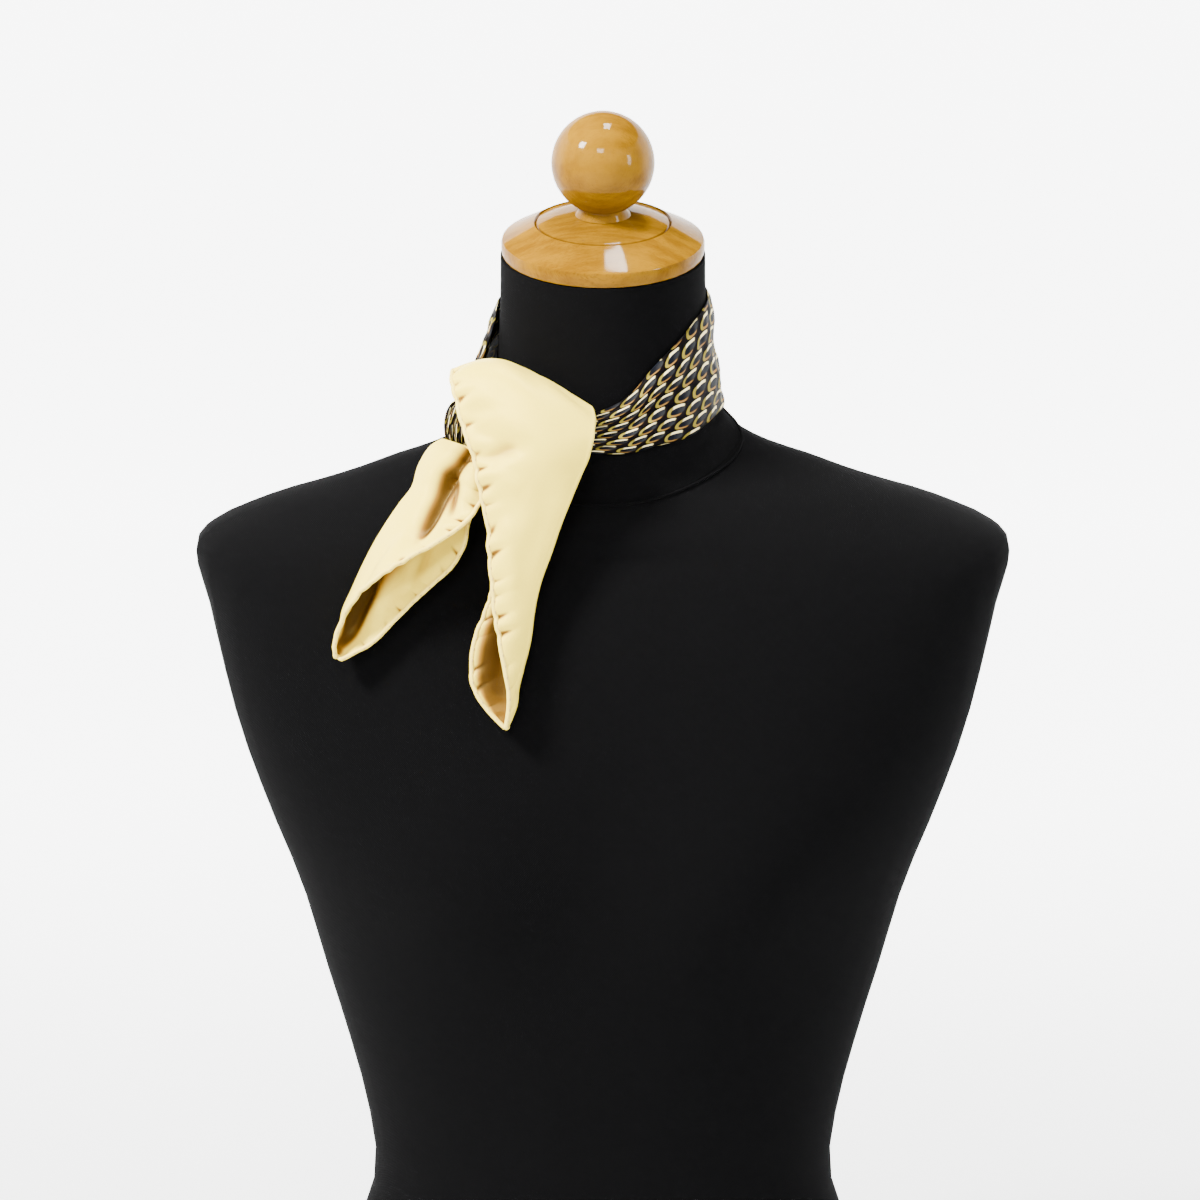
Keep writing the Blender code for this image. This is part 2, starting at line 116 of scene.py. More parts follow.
# Tails: free hem of the front layer, fold, free hem of the back layer
Fold = namedtuple("Fold", "turn hem fold back belly arch")
FRONT_TAIL = [
    Fold(175, (-50, -46, 599), (-19, -64.5, 594), (-45, -50.5, 599), 2, 2),
    Fold(165, (-60, -46, 610), (-13, -65.5, 600), (-54, -50, 608), 2, 5),
    Fold(135, (-70, -51, 618), (-7, -69, 604), (-61, -54, 614), 3, 9),
    Fold(85, (-74.5, -60, 620), (-5, -75, 600), (-66, -61, 616), 4, 9),
    Fold(40, (-75, -69, 616.5), (-5, -79, 597.5), (-66, -66, 613), 6, 7.5),
    Fold(10, (-72.5, -75.5, 607), (-5.5, -83, 594), (-65, -71, 605), 8, 3),
    Fold(0, (-69, -81, 595), (-6, -86, 589), (-62, -76, 594), 8, 1),
    Fold(0, (-65.5, -86, 585), (-8.5, -88, 580), (-55, -80, 584), 7, 0),
    Fold(0, (-62.5, -89, 574), (-12, -89, 572), (-52, -83, 573), 6, 0),
    Fold(0, (-59.5, -92, 560), (-17, -91, 560), (-50, -85, 560), 5, 0),
    Fold(0, (-56.5, -95, 546), (-22.5, -93, 546), (-49, -87, 546), 5, 0),
    Fold(0, (-56, -98, 533), (-27, -95, 533), (-49, -89, 532), 4, 0),
    Fold(0, (-54.5, -101, 520), (-32, -97, 519), (-53.5, -91, 519), 3, 0),
    Fold(0, (-53.5, -103, 507), (-35, -99, 506), (-57.5, -93, 506), 2.5, 0),
    Fold(0, (-51, -106, 493), (-37.5, -101, 491), (-63, -96, 492), 2, 0),
    Fold(0, (-48.5, -108, 479), (-41, -104, 478), (-65, -99, 479), 1, 0),
    Fold(0, (-46.5, -109, 467), (-43, -106, 468), (-64, -102, 468), 0.5, 0),
    Fold(0, (-46.5, -109, 458), (-44, -107, 458), (-58, -104, 458), 0, 0),
    Fold(0, (-48, -108.5, 448.6), (-47.4, -107.5, 448.6), (-48.8, -106.5, 448.6), 0, 0),
]
SIDE_TAIL = [
    Fold(0, (-60, -76, 584), (-79, -67, 586.5), (-63, -70, 582), 3, 0),
    Fold(0, (-60, -80, 579), (-85.5, -66, 582), (-62, -71, 576), 5, 0),
    Fold(0, (-60.5, -84.5, 572), (-91, -67, 573), (-62, -75, 568), 7, 0),
    Fold(0, (-60, -87.5, 561), (-94, -70, 563), (-64, -79, 556), 7, 0),
    Fold(0, (-63, -91, 554.5), (-100, -72, 555), (-67, -84, 546), 7, 0),
    Fold(0, (-70, -97, 547.5), (-106, -75, 546), (-69, -87, 536), 6, 0),
    Fold(0, (-83, -102, 539.5), (-112, -78, 536), (-75, -89, 526), 5, 0),
    Fold(0, (-97, -104, 532), (-118, -81, 525), (-84, -91, 518), 3.5, 0),
    Fold(0, (-108, -104, 525), (-123.5, -84, 514), (-94, -92, 509), 2, 0),
    Fold(0, (-119, -102, 516), (-128.5, -87, 504), (-104, -93, 499), 1, 0),
    Fold(0, (-126, -100, 506), (-130.5, -90, 494), (-114, -94, 489), 0.5, 0),
    Fold(0, (-131, -97.5, 495), (-133, -93, 487), (-123, -95, 484), 0, 0),
    Fold(0, (-133, -97, 487), (-132.5, -95, 482), (-129.5, -96, 481), 0, 0),
]

# Creases pressed in a layer: from and to are (row of the table, share of the way from the
# free hem to the fold); depth is how far the trough sinks, negative for a ridge.
Crease = namedtuple("Crease", "layer start end depth width")
FRONT_CREASES = [
    Crease("front", (7.5, 0.05), (6.6, 0.45), 2.8, 5.0),
    Crease("front", (6.2, 0.10), (6.6, 0.42), 1.4, 4.5),
    Crease("front", (5.4, 0.06), (5.2, 0.30), 1.0, 4.0),
    Crease("front", (7.9, 0.10), (8.7, 0.45), -1.2, 5.0),
    Crease("front", (9.0, 0.75), (12.5, 0.60), 0.9, 6.0),
    Crease("front", (10.0, 0.30), (13.5, 0.50), -0.8, 5.0),
    Crease("front", (4.6, 0.55), (8.0, 0.85), -0.9, 8.0),
    Crease("back", (11.8, 0.55), (16.5, 0.60), 4.5, 8.0),
    Crease("back", (13.5, 0.75), (15.5, 0.80), -1.2, 4.0),
]
SIDE_CREASES = [
    Crease("front", (0.0, 0.24), (2.6, 0.56), 8.0, 4.6),
    Crease("front", (2.2, 0.56), (5.6, 0.46), 9.0, 5.6),
    Crease("front", (2.6, 0.38), (4.4, 0.28), 4.0, 2.8),
    Crease("front", (0.8, 0.12), (3.4, 0.12), -1.8, 3.0),
    Crease("front", (5.4, 0.62), (8.0, 0.50), -1.2, 5.0),
    Crease("front", (6.5, 0.75), (9.5, 0.70), 1.0, 4.0),
    Crease("back", (6.2, 0.75), (9.2, 0.35), -3.2, 4.0),
    Crease("back", (5.2, 0.45), (7.6, 0.20), 2.2, 3.5),
    Crease("back", (7.2, 0.80), (11.0, 0.60), 4.0, 5.0),
]

# A tail: its tables, the swell of its back layer, where the shade inside it starts and ends
# (share of the way from the back hem to the fold), the rows over which its mouth opens,
# the rows over which light reaches in,
# and the seed of its unevenness
Tail = namedtuple("Tail", "node table creases back_swell inside mouth lit seed")
TAILS = {
    "front": Tail("front_tail", FRONT_TAIL, FRONT_CREASES, 0.9, (0.0, 0.26),
                  (9.0, 11.0), (15.0, 18.0), 1.0),
    "side": Tail("side_tail", SIDE_TAIL, SIDE_CREASES, 0.0, (0.38, 0.74),
                 (3.0, 5.0), (9.0, 12.0), 2.4),
}

# Silk's wall, and the puckers between the stitches of its rolled hem
SILK_WALL = 0.55
FOLD_GAP = 2.6              # least gap between a tail's layers at its fold
FOLD_STEPS = 9
PUCKER_PITCH = 10.8
PUCKER_DEPTH = 2.5
PUCKER_REACH = 6.6          # how far they reach in from the hem

# Fold shade, 0 to 1: how dark a deep crease, a dimple, the inside of a tail and a skin that
# faces inwards are, and the most it may be
CREASE_SHADE = 0.88
DIMPLE_SHADE = 0.80
INSIDE_SHADE = 0.93
HIDDEN_SHADE = 0.6
MOST_SHADE = 0.95

# Form: welt over the neck seam, steepest edge shaded smooth, reach of a weld in metres
WELT_RADIUS = 0.75
SHARP_ANGLE = 38
WELD_REACH = 0.01 * MM

# Groove turned in the wooden cap, drawn as a thin line of painted shade: its radius about the
# leaning axis of the neck
CAP_RING = 34.0 * MM
CAP_AT = (0.0, -18.0 * MM, 675.5 * MM)
CAP_LEAN = radians(16.0)
CAP_AXIS = (0.0, -sin(CAP_LEAN), cos(CAP_LEAN))

# Lattice of the chain print
LINK_PITCH = 10.6 * MM
LINK_ROW = 7.5 * MM
LINK_SHIFT = 0.46
PRINT_PULL = 0.30           # how much longer the print is drawn at the side of the neck
PRINT_BIAS = 0.30           # slope of the print's rows to the band
PRINT_DRIFT = 1.1 * MM      # how far the print strays from its lattice
LINK_LEAN = 0.30            # how far each link leans along its row
LINK_TILT = 0.34            # how far each link climbs along its row
LINK_SQUARENESS = 2.5
Oval = namedtuple("Oval", "x y wide high")
LINK_OVALS = (Oval(0.0, 0.0, 0.46, 0.42), Oval(0.05, -0.03, 0.36, 0.26))

# Camera: metres, degrees and millimetres of lens
TARGET = (-0.0015, 0.0, 0.4936)
DISTANCE = 1.9
ELEVATION = 10.0
SENSOR = 36.0
LENS = 109.6

# Studio, in metres and watts
SoftBox = namedtuple("SoftBox", "name place aim size power tint")
BUST = (0, 0, 0.55)
SOFT_BOXES = [
    SoftBox("key", (-1.15, -0.75, 1.75), BUST, (0.38, 0.38), 165, (1, 0.985, 0.96)),
    SoftBox("top", (0.15, 0.0, 2.05), BUST, (0.4, 0.25), 45, (1, 0.99, 0.97)),
    SoftBox("front", (-0.25, -2.1, 1.9), BUST, (0.6, 0.4), 58, (1, 0.99, 0.98)),
    SoftBox("side", (1.36, -0.79, 0.92), BUST, (0.22, 0.5), 14, (0.98, 0.99, 1)),
]
BACKDROP_GLOW = 5.0         # light given off by the paper behind the form
FRONT_GLOW = 0.18           # and by the paper in front of it
SKY_GLOW = 0.09             # and by the room above the paper

# Profile of the studio's round dish of paper: radius and height
DISH = [(0.0, 0.0), (3.6, 0.0), (4.0, 0.06), (4.35, 0.28), (4.55, 0.7), (4.6, 1.6),
        (4.6, 3.5)]
DISH_SIDES = 64


# Colours, linear
SILK_DULL = (0.80, 0.60, 0.048, 1)
SILK_BRIGHT = (0.88, 0.69, 0.070, 1)
SILK_SHADE = (0.26, 0.120, 0.012, 1)
SILK_DEEP = (0.030, 0.011, 0.0010, 1)
SILK_GLOSS = (1.0, 0.76, 0.22, 1)
SILK_SHEEN = (1.0, 0.86, 0.55, 1)
HEM_DULL = (0.76, 0.565, 0.075, 1)
HEM_BRIGHT = (0.90, 0.71, 0.13, 1)
THREAD_TAN = (0.42, 0.27, 0.11, 1)
PRINT_CREAM = (0.92, 0.78, 0.38, 1)
PRINT_GOLD = (0.21, 0.165, 0.022, 1)
PRINT_TAN = (0.24, 0.125, 0.030, 1)
PRINT_UMBER = (0.05, 0.038, 0.014, 1)
PRINT_DARK = (0.006, 0.005, 0.004, 1)
PRINT_NAVY = (0.005, 0.008, 0.014, 1)
PRINT_SLATE = (0.018, 0.019, 0.021, 1)
PRINT_INK = (0.0022, 0.0030, 0.0055, 1)
PRINT_PLUM = (0.0025, 0.0012, 0.0012, 1)
PRINT_BLACK = (0.0006, 0.0005, 0.0006, 1)
PRINT_DEEP = (0.001, 0.0007, 0.0006, 1)
JERSEY_BLACK = (0.0026, 0.0026, 0.0028, 1)
JERSEY_DEEP = (0.0010, 0.0010, 0.0011, 1)
LINT = (0.016, 0.016, 0.018, 1)
WOOD_HONEY = (0.170, 0.079, 0.0015, 1)
WOOD_DARK = (0.118, 0.051, 0.0010, 1)
WOOD_STREAK = (0.070, 0.028, 0.0006, 1)
WOOD_PALE = (0.215, 0.104, 0.0020, 1)
WOOD_GROOVE_SHADE = (0.045, 0.016, 0.0006, 1)
PAPER = (0.72, 0.725, 0.73, 1)

# Knit of the jersey
WALE_PITCH = 1.1 * MM
COURSE_PITCH = 0.9 * MM


# ---------------------------------------------------------------- numbers and surfaces

def through(table, column, places, key=0):
    """Smooth curve through one column of a table, read at places along the key column."""
    at = np.array([row[key] for row in table], float)
    values = np.array([getattr(row, column) for row in table], float)
    slopes = np.gradient(values, at)
    i = np.clip(np.searchsorted(at, places) - 1, 0, len(at) - 2)
    span = at[i + 1] - at[i]
    t = np.clip((places - at[i]) / span, 0, 1)
    blend = t * t * (3 - 2 * t)
    bow = span * (t * (1 - t) ** 2 * slopes[i] - t * t * (1 - t) * slopes[i + 1])
    return values[i] * (1 - blend) + values[i + 1] * blend + bow


def between(table, column, places):
    """Smooth curve through one column of a table of folds, places counted in rows."""
    values = np.array([np.ravel(getattr(row, column)) for row in table], float)
    last = len(table) - 1
    i = np.minimum(places.astype(int), last - 1)
    t = (places - i)[:, None]
    a, b = values[np.maximum(i - 1, 0)], values[i]
    c, d = values[i + 1], values[np.minimum(i + 2, last)]
    bend = (2 * a - 5 * b + 4 * c - d) * t * t + (3 * b - a - 3 * c + d) * t ** 3
    return (2 * b + (c - a) * t + bend) / 2


def normals_of(grid):
    """Unit normals of a grid of points."""
    normal = np.cross(np.gradient(grid, axis=1), np.gradient(grid, axis=0))
    return normal / np.maximum(np.linalg.norm(normal, axis=2, keepdims=True), 1e-9)


def lengths(grid, axis):
    """Distance run along an axis of a grid of points."""
    step = np.linalg.norm(np.diff(grid, axis=axis), axis=2)
    pad = [(1, 0), (0, 0)] if axis == 0 else [(0, 0), (1, 0)]
    return np.cumsum(np.pad(step, pad), axis=axis)


def rise(values, low, high):
    """0 below low, 1 above high, smooth between."""
    t = np.clip((values - low) / (high - low), 0, 1)
    return t * t * (3 - 2 * t)


def wander(x, y, seed, scale):
    """Slow uneven swell of about unit height, from waves that never quite repeat."""
    dice = np.random.default_rng(seed)
    total = 0
    for k in range(6):
        turn = dice.uniform(0, 2 * pi)
        rate = dice.uniform(0.6, 1.7) / scale
        total = total + np.sin((x * cos(turn) + y * sin(turn)) * rate * 2 * pi + k * 1.7)
    return total / 3


class Form:
    """The bust form's surface, read from its CAD nodes."""

    def __init__(self, *names):
        points, faces = [], []
        for name in names:
            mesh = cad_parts[name].data
            start = len(points)
            points += [v.co.copy() for v in mesh.vertices]
            faces += [[start + i for i in f.vertices] for f in mesh.polygons]
        self.tree = BVHTree.FromPolygons(points, faces)

    def radius(self, azimuth, height):
        """Distance from the form's axis to its surface, in millimetres, bridging the seam."""
        turn = radians(azimuth)
        away = Vector((sin(turn), -cos(turn), 0))
        reach = 0.0
        for level in (height - 0.8, height, height + 0.8):
            far = Vector((0, np.interp(level, *AXIS_Y) * MM, level * MM)) + away * 0.4
            hit = self.tree.ray_cast(far, -away)[3]
            if hit is not None:
                reach = max(reach, (0.4 - hit) / MM)
        if reach == 0.0:
            raise RuntimeError(f"no form at azimuth {azimuth}, height {height}")
        return reach

    def soft_radius(self, azimuth, height):
        """The same, evened out over the facets of the node."""
        near = [self.radius(azimuth + d, height) for d in (-7, -3.5, 0, 3.5, 7)]
        return float(np.dot(near, (0.1, 0.25, 0.3, 0.25, 0.1)))


# ---------------------------------------------------------------- meshes and pieces

def link(name, mesh):
    """New object in the scene around a mesh, curve, light or camera."""
    made = bpy.data.objects.new(name, mesh)
    bpy.context.scene.collection.objects.link(made)
    return made


def grid_mesh(name, grid, uv, closed=False):
    """Mesh over a grid of millimetre points, with a UV map in metres of cloth."""
    rows, columns = grid.shape[:2]
    wide = columns if closed else columns - 1
    faces, corners = [], []
    for i in range(rows - 1):
        for j in range(wide):
            k = (j + 1) % columns
            quad = [(i, j), (i, k), (i + 1, k), (i + 1, j)]
            faces.append([a * columns + b for a, b in quad])
            corners += [(a, j + 1 if (closed and b == 0 and k == 0) else b) for a, b in quad]
    mesh = bpy.data.meshes.new(name)
    mesh.from_pydata((grid.reshape(-1, 3) * MM).tolist(), [], faces)
    layer = mesh.uv_layers.new(name="cloth")
    flat = np.array([uv[a, min(b, uv.shape[1] - 1)] for a, b in corners]) * MM
    layer.data.foreach_set("uv", flat.ravel())
    mesh.shade_smooth()
    return mesh


def settle(made):
    """Turns an object with modifiers or curves into a smooth plain mesh of the same name."""
    bpy.context.view_layer.update()
    evaluated = made.evaluated_get(bpy.context.evaluated_depsgraph_get())
    mesh = bpy.data.meshes.new_from_object(evaluated)
    name = made.name
    bpy.data.objects.remove(made)
    mesh.shade_smooth()
    return link(name, mesh)


def thicken(made, wall):
    """Gives a grid of cloth its thickness, half to each side."""
    shell = made.modifiers.new("wall", "SOLIDIFY")
    shell.thickness = wall * MM
    shell.offset = 0
    shell.use_rim = True
    return settle(made)


def finish_piece(made, look, replaces=()):
    """Dresses a finished piece and ties it to the frame."""
    if look is not None:
        made.data.materials.clear()
        made.data.materials.append(look)
    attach(made, "root")
    if replaces:
        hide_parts(*replaces)
    return made


# ---------------------------------------------------------------- shader helpers

class Nodes:
    """Small builder for a node tree, so that a formula reads as one."""

    def __init__(self, tree):
        self.tree = tree

    def add(self, kind, inputs=(), **settings):
        """New node with its settings and inputs."""
        node = self.tree.nodes.new(kind)
        for key, value in settings.items():
            setattr(node, key, value)
        self.fill(node, dict(inputs))
        return node

    def fill(self, node, values):
        """Links or sets the inputs of a node."""
        for key, value in values.items():
            self.feed(node.inputs[key], value)

    def feed(self, socket, value):
        """Links a socket to another, or sets it to a plain value."""
        if isinstance(value, bpy.types.NodeSocket):
            self.tree.links.new(value, socket)
        else:
            socket.default_value = value

    def math(self, operation, a, b=0.0):
        return self.add("ShaderNodeMath", {0: a, 1: b}, operation=operation).outputs[0]

    def step(self, value, low, high):
        """0 below low, 1 above high, smooth between."""
        node = self.add("ShaderNodeMapRange", {0: value, 1: low, 2: high},
                        interpolation_type="SMOOTHSTEP")
        return node.outputs[0]

    def mix(self, factor, a, b):
        node = self.add("ShaderNodeMix", {0: factor, 6: a, 7: b}, data_type="RGBA")
        return node.outputs[2]

    def noise(self, vector, scale, detail=2.0, rough=0.5):
        return self.add("ShaderNodeTexNoise", {
            "Vector": vector, "Scale": scale, "Detail": detail, "Roughness": rough}).outputs[0]

    def bump(self, height, strength, distance):
        return self.add("ShaderNodeBump", {
            "Height": height, "Strength": strength, "Distance": distance}).outputs[0]


def group(name, inputs, outputs):
    """New shader node group with named sockets. Returns its builder and its input sockets."""
    tree = bpy.data.node_groups.new(name, "ShaderNodeTree")
    for label, kind, value in inputs:
        socket = tree.interface.new_socket(label, in_out="INPUT", socket_type=kind)
        if value is not None:
            socket.default_value = value
    for label, kind in outputs:
        tree.interface.new_socket(label, in_out="OUTPUT", socket_type=kind)
    build = Nodes(tree)
    entry = tree.nodes.new("NodeGroupInput")
    return build, entry.outputs


def close_group(build, results):
    """Ends a shader node group with its results. Returns its tree."""
    end = build.tree.nodes.new("NodeGroupOutput")
    for label, value in results.items():
        build.feed(end.inputs[label], value)
    return build.tree


def silk_weave_group():
    """Fine twill ribs and slow unevenness of silk, from cloth coordinates in metres."""
    build, given = group("Silk weave", [
        ("Cloth", "NodeSocketVector", None),
        ("Rib Pitch", "NodeSocketFloat", 0.00042),
        ("Depth", "NodeSocketFloat", 0.25),
    ], [("Normal", "NodeSocketVector"), ("Slub", "NodeSocketFloat")])
    split = build.add("ShaderNodeSeparateXYZ", {0: given["Cloth"]})
    slant = build.math("ADD", split.outputs[0], split.outputs[1])
    turns = build.math("DIVIDE", slant, given["Rib Pitch"])
    rib = build.math("SINE", build.math("MULTIPLY", turns, 2 * pi))
    slub = build.noise(given["Cloth"], 900.0, 3.0, 0.6)
    slow = build.noise(given["Cloth"], 120.0, 2.0, 0.5)
    height = build.math("ADD", build.math("MULTIPLY", rib, 0.35), slub)
    height = build.math("ADD", height, build.math("MULTIPLY", slow, 2.0))
    normal = build.bump(height, given["Depth"], 0.00012)
    return close_group(build, {"Normal": normal, "Slub": slub})


def chain_print_group():
    """Printed chain of linked rings, from cloth coordinates in metres."""
    build, given = group("Chain print", [
        ("Cloth", "NodeSocketVector", None),
        ("Link Pitch", "NodeSocketFloat", LINK_PITCH),
        ("Row Pitch", "NodeSocketFloat", LINK_ROW),
        ("Row Shift", "NodeSocketFloat", LINK_SHIFT),
    ], [("Color", "NodeSocketColor")])
    drift = build.add("ShaderNodeTexNoise", {
        "Vector": given["Cloth"], "Scale": 90.0, "Detail": 1.0})
    nudge = build.add("ShaderNodeVectorMath", {0: drift.outputs["Color"], 1: (-0.5, -0.5, -0.5)},
                      operation="ADD")
    nudge = build.add("ShaderNodeVectorMath", {0: nudge.outputs[0], 3: PRINT_DRIFT},
                      operation="SCALE")
    cloth = build.add("ShaderNodeVectorMath", {0: given["Cloth"], 1: nudge.outputs[0]},
                      operation="ADD")
    split = build.add("ShaderNodeSeparateXYZ", {0: cloth.outputs[0]})
    rows = build.math("DIVIDE", split.outputs[1], given["Row Pitch"])
    row = build.math("FLOOR", rows)
    level = build.math("SUBTRACT", build.math("SUBTRACT", rows, row), 0.5)
    along = build.math("DIVIDE", split.outputs[0], given["Link Pitch"])
    along = build.math("ADD", along, build.math("MULTIPLY", row, given["Row Shift"]))
    along = build.math("SUBTRACT", along, build.math("MULTIPLY", level, LINK_LEAN))
    x = build.math("SUBTRACT", build.math("FRACT", along), 0.5)
    y = build.math("SUBTRACT", level, build.math("MULTIPLY", x, LINK_TILT))
    # ring: a rounded oval, its inner edge moved up and right so that it looks lit
    reach = []
    for oval in LINK_OVALS:
        powers = []
        for spot, centre, half in ((x, oval.x, oval.wide), (y, oval.y, oval.high)):
            away = build.math("DIVIDE", build.math("SUBTRACT", spot, centre), half)
            powers.append(build.math("POWER", build.math("ABSOLUTE", away), LINK_SQUARENESS))
        reach.append(build.math("ADD", *powers))
    outside = build.step(reach[0], 0.85, 1.1)
    inside = build.math("SUBTRACT", 1.0, build.step(reach[1], 0.8, 1.15))
    top = build.step(y, 0.10, 0.22)
    low = build.step(y, -0.12, -0.24)
    left = build.step(x, -0.14, -0.28)
    right = build.step(x, 0.12, 0.32)
    ring = build.mix(low, PRINT_UMBER, PRINT_TAN)
    ring = build.mix(left, ring, PRINT_GOLD)
    ring = build.mix(right, ring, PRINT_DARK)
    gleam = build.math("MULTIPLY", top, build.math("SUBTRACT", 1.0, build.step(
        build.math("ABSOLUTE", build.math("SUBTRACT", x, 0.05)), 0.22, 0.32)))
    ring = build.mix(gleam, ring, PRINT_CREAM)
    core = build.mix(build.step(x, -0.1, 0.30), PRINT_INK, PRINT_SLATE)
    core = build.mix(build.step(y, 0.02, 0.2), core, PRINT_NAVY)
    ground = build.mix(build.step(x, -0.3, 0.4), PRINT_BLACK, PRINT_PLUM)
    colour = build.mix(inside, ring, core)
    colour = build.mix(outside, colour, ground)
    return close_group(build, {"Color": colour})


def material(name):
    """New material, its builder and its Principled shader."""
    made = bpy.data.materials.new(name)
    made.use_nodes = True
    build = Nodes(made.node_tree)
    return made, build, made.node_tree.nodes["Principled BSDF"]


def use(build, tree, inputs):
    """Places a shader node group. Returns its output sockets."""
    node = build.add("ShaderNodeGroup")
    node.node_tree = tree
    build.fill(node, inputs)
    return node.outputs


def plain_silk(weave):
    """Silk twill, smooth and softly lustrous, darker in its folds."""
    made, build, shader = material("plain_silk")
    cloth = build.add("ShaderNodeUVMap", uv_map="cloth").outputs[0]
    fabric = use(build, weave, {"Cloth": cloth, "Depth": 0.35})
    bright = tuple(bpy.context.scene.scarf.silk_colour)
    tone = build.mix(fabric["Slub"], SILK_DULL, bright)
    depth = build.add("ShaderNodeAttribute", attribute_name="shade").outputs["Fac"]
    facing = build.add("ShaderNodeNewGeometry").outputs["Normal"]
    facing = build.add("ShaderNodeSeparateXYZ", {0: facing}).outputs[1]
    depth = build.math("MULTIPLY", depth, build.step(facing, 0.25, -0.10))
    tone = build.mix(build.step(depth, 0.0, 0.65), tone, SILK_SHADE)
    tone = build.mix(build.step(depth, 0.45, 1.0), tone, SILK_DEEP)
    build.fill(shader, {
        "Base Color": tone, "Normal": fabric["Normal"], "IOR": 1.35, "Roughness": 0.36,
        "Specular IOR Level": 0.6, "Specular Tint": SILK_GLOSS, "Anisotropic": 0.4,
        "Sheen Weight": 0.08, "Sheen Roughness": 0.35, "Sheen Tint": SILK_SHEEN})
    return made


def hem_silk():
    """The same silk rolled tight, seen end on, without cloth coordinates."""
    made, build, shader = material("hem_silk")
    place = build.add("ShaderNodeTexCoord").outputs["Object"]
    slub = build.noise(place, 1400.0, 3.0, 0.6)
    build.fill(shader, {
        "Base Color": build.mix(slub, HEM_DULL, HEM_BRIGHT),
        "Normal": build.bump(slub, 0.3, 0.0002),
        "Roughness": 0.42, "Specular Tint": SILK_GLOSS})
    return made


def thread():
    """Tan silk thread of the hem's stitches."""
    made, build, shader = material("hem_thread")
    build.fill(shader, {"Base Color": THREAD_TAN, "Roughness": 0.6})
    return made


def printed_silk(weave, chain):
    """Dark silk twill with the printed chain, darker in its folds."""
    made, build, shader = material("printed_silk")
    cloth = build.add("ShaderNodeUVMap", uv_map="cloth").outputs[0]
    fabric = use(build, weave, {"Cloth": cloth, "Depth": 0.3})
    pattern = use(build, chain, {"Cloth": cloth})
    depth = build.add("ShaderNodeAttribute", attribute_name="shade").outputs["Fac"]
    build.fill(shader, {
        "Base Color": build.mix(depth, pattern["Color"], PRINT_DEEP),
        "Normal": fabric["Normal"], "Roughness": 0.55, "IOR": 1.10})
    return made


def black_jersey():
    """Black cotton jersey: fine knit wales, a breath of lint."""
    made, build, shader = material("black_jersey")
    place = build.add("ShaderNodeTexCoord").outputs["Object"]
    split = build.add("ShaderNodeSeparateXYZ", {0: place})
    wale, course = (
        build.math("SINE", build.math("MULTIPLY", split.outputs[axis], 2 * pi / pitch))
        for axis, pitch in ((0, WALE_PITCH), (2, COURSE_PITCH)))
    knit = build.math("MULTIPLY", wale, course)
    fuzz = build.noise(place, 1100.0, 4.0, 0.7)
    lint = build.step(build.noise(place, 420.0, 6.0, 0.85), 0.70, 0.80)
    patch = build.step(build.noise(place, 14.0, 2.0, 0.5), 0.56, 0.70)
    lint = build.math("MULTIPLY", lint, patch)
    bright = tuple(bpy.context.scene.scarf.jersey_colour)
    tone = build.mix(lint, build.mix(fuzz, JERSEY_DEEP, bright), LINT)
    height = build.math("ADD", build.math("MULTIPLY", knit, 0.6), fuzz)
    build.fill(shader, {
        "Base Color": tone, "Normal": build.bump(height, 0.35, 0.0002),
        "Roughness": 0.95, "IOR": 1.06, "Sheen Weight": 0.006, "Sheen Roughness": 0.6})
    return made


def stretched_noise(build, place, stretch, *texture):
    """Noise drawn out along the grain of the wood."""
    drawn = build.add("ShaderNodeMapping", {"Vector": place, "Scale": stretch})
    return build.noise(drawn.outputs[0], *texture)


def varnished_wood():
    """Honey coloured turned beech under thick gloss varnish, with painted shade in its one
    turned groove.
    """
    made, build, shader = material("varnished_wood")
    place = build.add("ShaderNodeTexCoord").outputs["Object"]
    grain = stretched_noise(build, place, (1.0, 7.0, 4.0), 30.0, 6.0, 0.62)
    streak = stretched_noise(build, place, (3.0, 22.0, 3.0), 150.0, 5.0, 0.7)
    cloud = build.noise(place, 30.0, 3.0, 0.5)
    tone = build.mix(build.step(grain, 0.34, 0.66), WOOD_DARK, WOOD_HONEY)
    streak = build.math("MULTIPLY", build.step(streak, 0.46, 0.74), 0.75)
    tone = build.mix(streak, tone, WOOD_STREAK)
    cloud = build.math("MULTIPLY", build.step(cloud, 0.45, 0.7), 0.5)
    tone = build.mix(cloud, tone, WOOD_PALE)
    # distance from the cap's leaning axis
    spoke = build.add("ShaderNodeVectorMath", {0: place, 1: CAP_AT}, operation="SUBTRACT")
    spoke = build.add("ShaderNodeVectorMath", {0: spoke.outputs[0], 1: CAP_AXIS},
                      operation="CROSS_PRODUCT")
    reach = build.add("ShaderNodeVectorMath", {0: spoke.outputs[0]},
                      operation="LENGTH").outputs[1]
    off = build.math("ABSOLUTE", build.math("SUBTRACT", reach, CAP_RING))
    # painted shade: a thin dark line where the turned groove lies
    line = build.math("MULTIPLY", build.step(off, 0.0011, 0.0004), 0.8)
    build.fill(shader, {
        "Base Color": build.mix(line, tone, WOOD_GROOVE_SHADE),
        "Roughness": 0.38, "Specular IOR Level": 0.0,
        "Coat Weight": 0.36, "Coat Roughness": 0.07, "Coat IOR": 1.33})
    return made


LOOKS = {}


def looks():
    """Every material of the object, made once."""
    if not LOOKS:
        weave = silk_weave_group()
        LOOKS.update(
            plain_silk=plain_silk(weave), hem_silk=hem_silk(), thread=thread(),
            printed_silk=printed_silk(weave, chain_print_group()),
            black_jersey=black_jersey(), varnished_wood=varnished_wood())
    return LOOKS


# ---------------------------------------------------------------- rolled hem, Geometry Nodes

